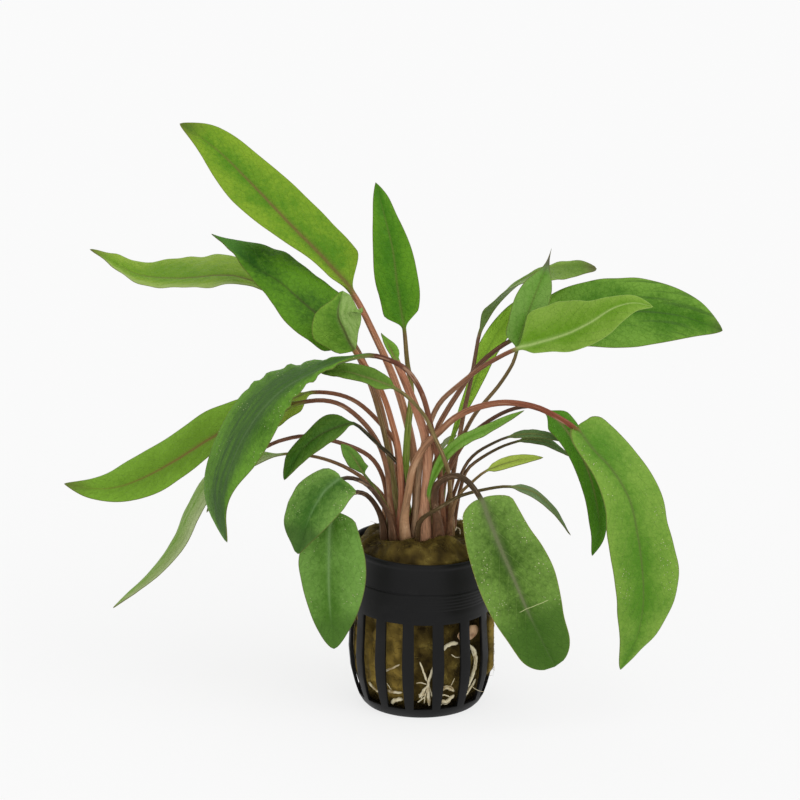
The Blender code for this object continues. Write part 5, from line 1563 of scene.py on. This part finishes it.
fine_roots = []
for number, (places, thick) in enumerate(ROOTLETS):
    thickness = (thick, thick * 0.7)
    for turned_by, first_number in ((0, 20), (TURN_TO_BACK, 40)):
        route = behind_bars([(angle + turned_by, height) for angle, height in places], ROOTLET_DEPTH)
        fine_roots.append(grow_root("rootlet", route, thickness, number + first_number, ROOTLET_AROUND))
fine_roots.append(grow_root("rootlet", [round_point(*p) for p in HAIR], (0.22, 0.12), 3, HAIR_AROUND))
for number, places in enumerate(CURLS):
    route = [np.array(place, float) for place in places]
    fine_roots.append(grow_root("rootlet", route, (0.5, 0.4), number + 60, ROOTLET_AROUND))
clear_selection()
for piece in fine_roots:
    piece.select_set(True)
bpy.context.view_layer.objects.active = fine_roots[0]
bpy.ops.object.join()
rootlets = bpy.context.object
rootlets.name = rootlets.data.name = "rootlets"
print("rootlets with", len(rootlets.data.polygons), "faces")

# %% [markdown]
# ## Rootstock
#
# The knob behind the right-hand slots is a bit of the creeping rootstock from which the leaves grow.
# It starts as a sphere that is pressed into a flat egg and bent round the basket, and gets a lumpy
# skin. A sphere is the nearest primitive, and its even net of faces takes the lumps well.

# %% Rhizome
RHIZOME_PLACE, RHIZOME_SIZE = (46.0, 30.0), (10.6, 1.6, 5.2)
clear_selection()
bpy.ops.mesh.primitive_uv_sphere_add(segments=48, ring_count=28, radius=MM)
rhizome = bpy.context.object
rhizome.name = rhizome.data.name = "rootstock_knob"
knob_angle, knob_height = RHIZOME_PLACE
outward = round_point(1.0, knob_angle, 0.0)
across_way = np.array([-outward[1], outward[0], 0.0])
ball = points_of(rhizome)
knob_radius = float(inner_radius(knob_height)) - ROOT_INSET
bent = knob_radius - (ball[:, 0] * RHIZOME_SIZE[0] / 2) ** 2 / (2 * knob_radius)
lumps = 1 + 0.06 * np.sin(5 * ball[:, 0] + 2) * np.cos(4 * ball[:, 2]) + 0.04 * np.sin(9 * ball[:, 0])
knob = (outward * (bent + ball[:, 1] * RHIZOME_SIZE[1] / 2)[:, None]
        + across_way * (ball[:, 0] * lumps * RHIZOME_SIZE[0] / 2)[:, None])
knob[:, 2] = knob_height + ball[:, 2] * lumps * RHIZOME_SIZE[2] / 2
set_points(rhizome, knob)
in_edit_mode(rhizome, face_out)
bpy.ops.object.shade_smooth()
print("rootstock with", len(rhizome.data.polygons), "faces")

# %% [markdown]
# ## Root finish
#
# Healthy roots are cream, a little see-through, with brownish patches where the wool has stained
# them. The rootstock is a pinkish tan with darker scars.

# %% Root materials
root_skin, given = new_group("root_skin", [], ["Clean", "Stained"])
stain = fade(root_skin, noise(root_skin, 260, 3), 0.45, 0.7)
fine = noise(root_skin, 2200, 3)
root_tone = blend(root_skin, stain, given["Clean"], given["Stained"])
finish_group(root_skin, root_tone, calc(root_skin, "ADD", fine, 0.05), fine)
cream = {"Clean": screen(214, 204, 172), "Stained": screen(160, 140, 98)}
root_finish = finish_from("root_finish", root_skin, cream, 0.0001, Specular_IOR_Level=0.3)
for name, piece in root_pieces.items():
    finish_piece(piece, root_finish, name)
finish_piece(rootlets, finish_from("rootlet_finish", root_skin, cream, 0.00005, Specular_IOR_Level=0.3))
tan = {"Clean": screen(196, 160, 124), "Stained": screen(140, 104, 76)}
rhizome_finish = finish_from("rhizome_finish", root_skin, tan, 0.0002, Specular_IOR_Level=0.25)
finish_piece(rhizome, rhizome_finish, "rhizome")
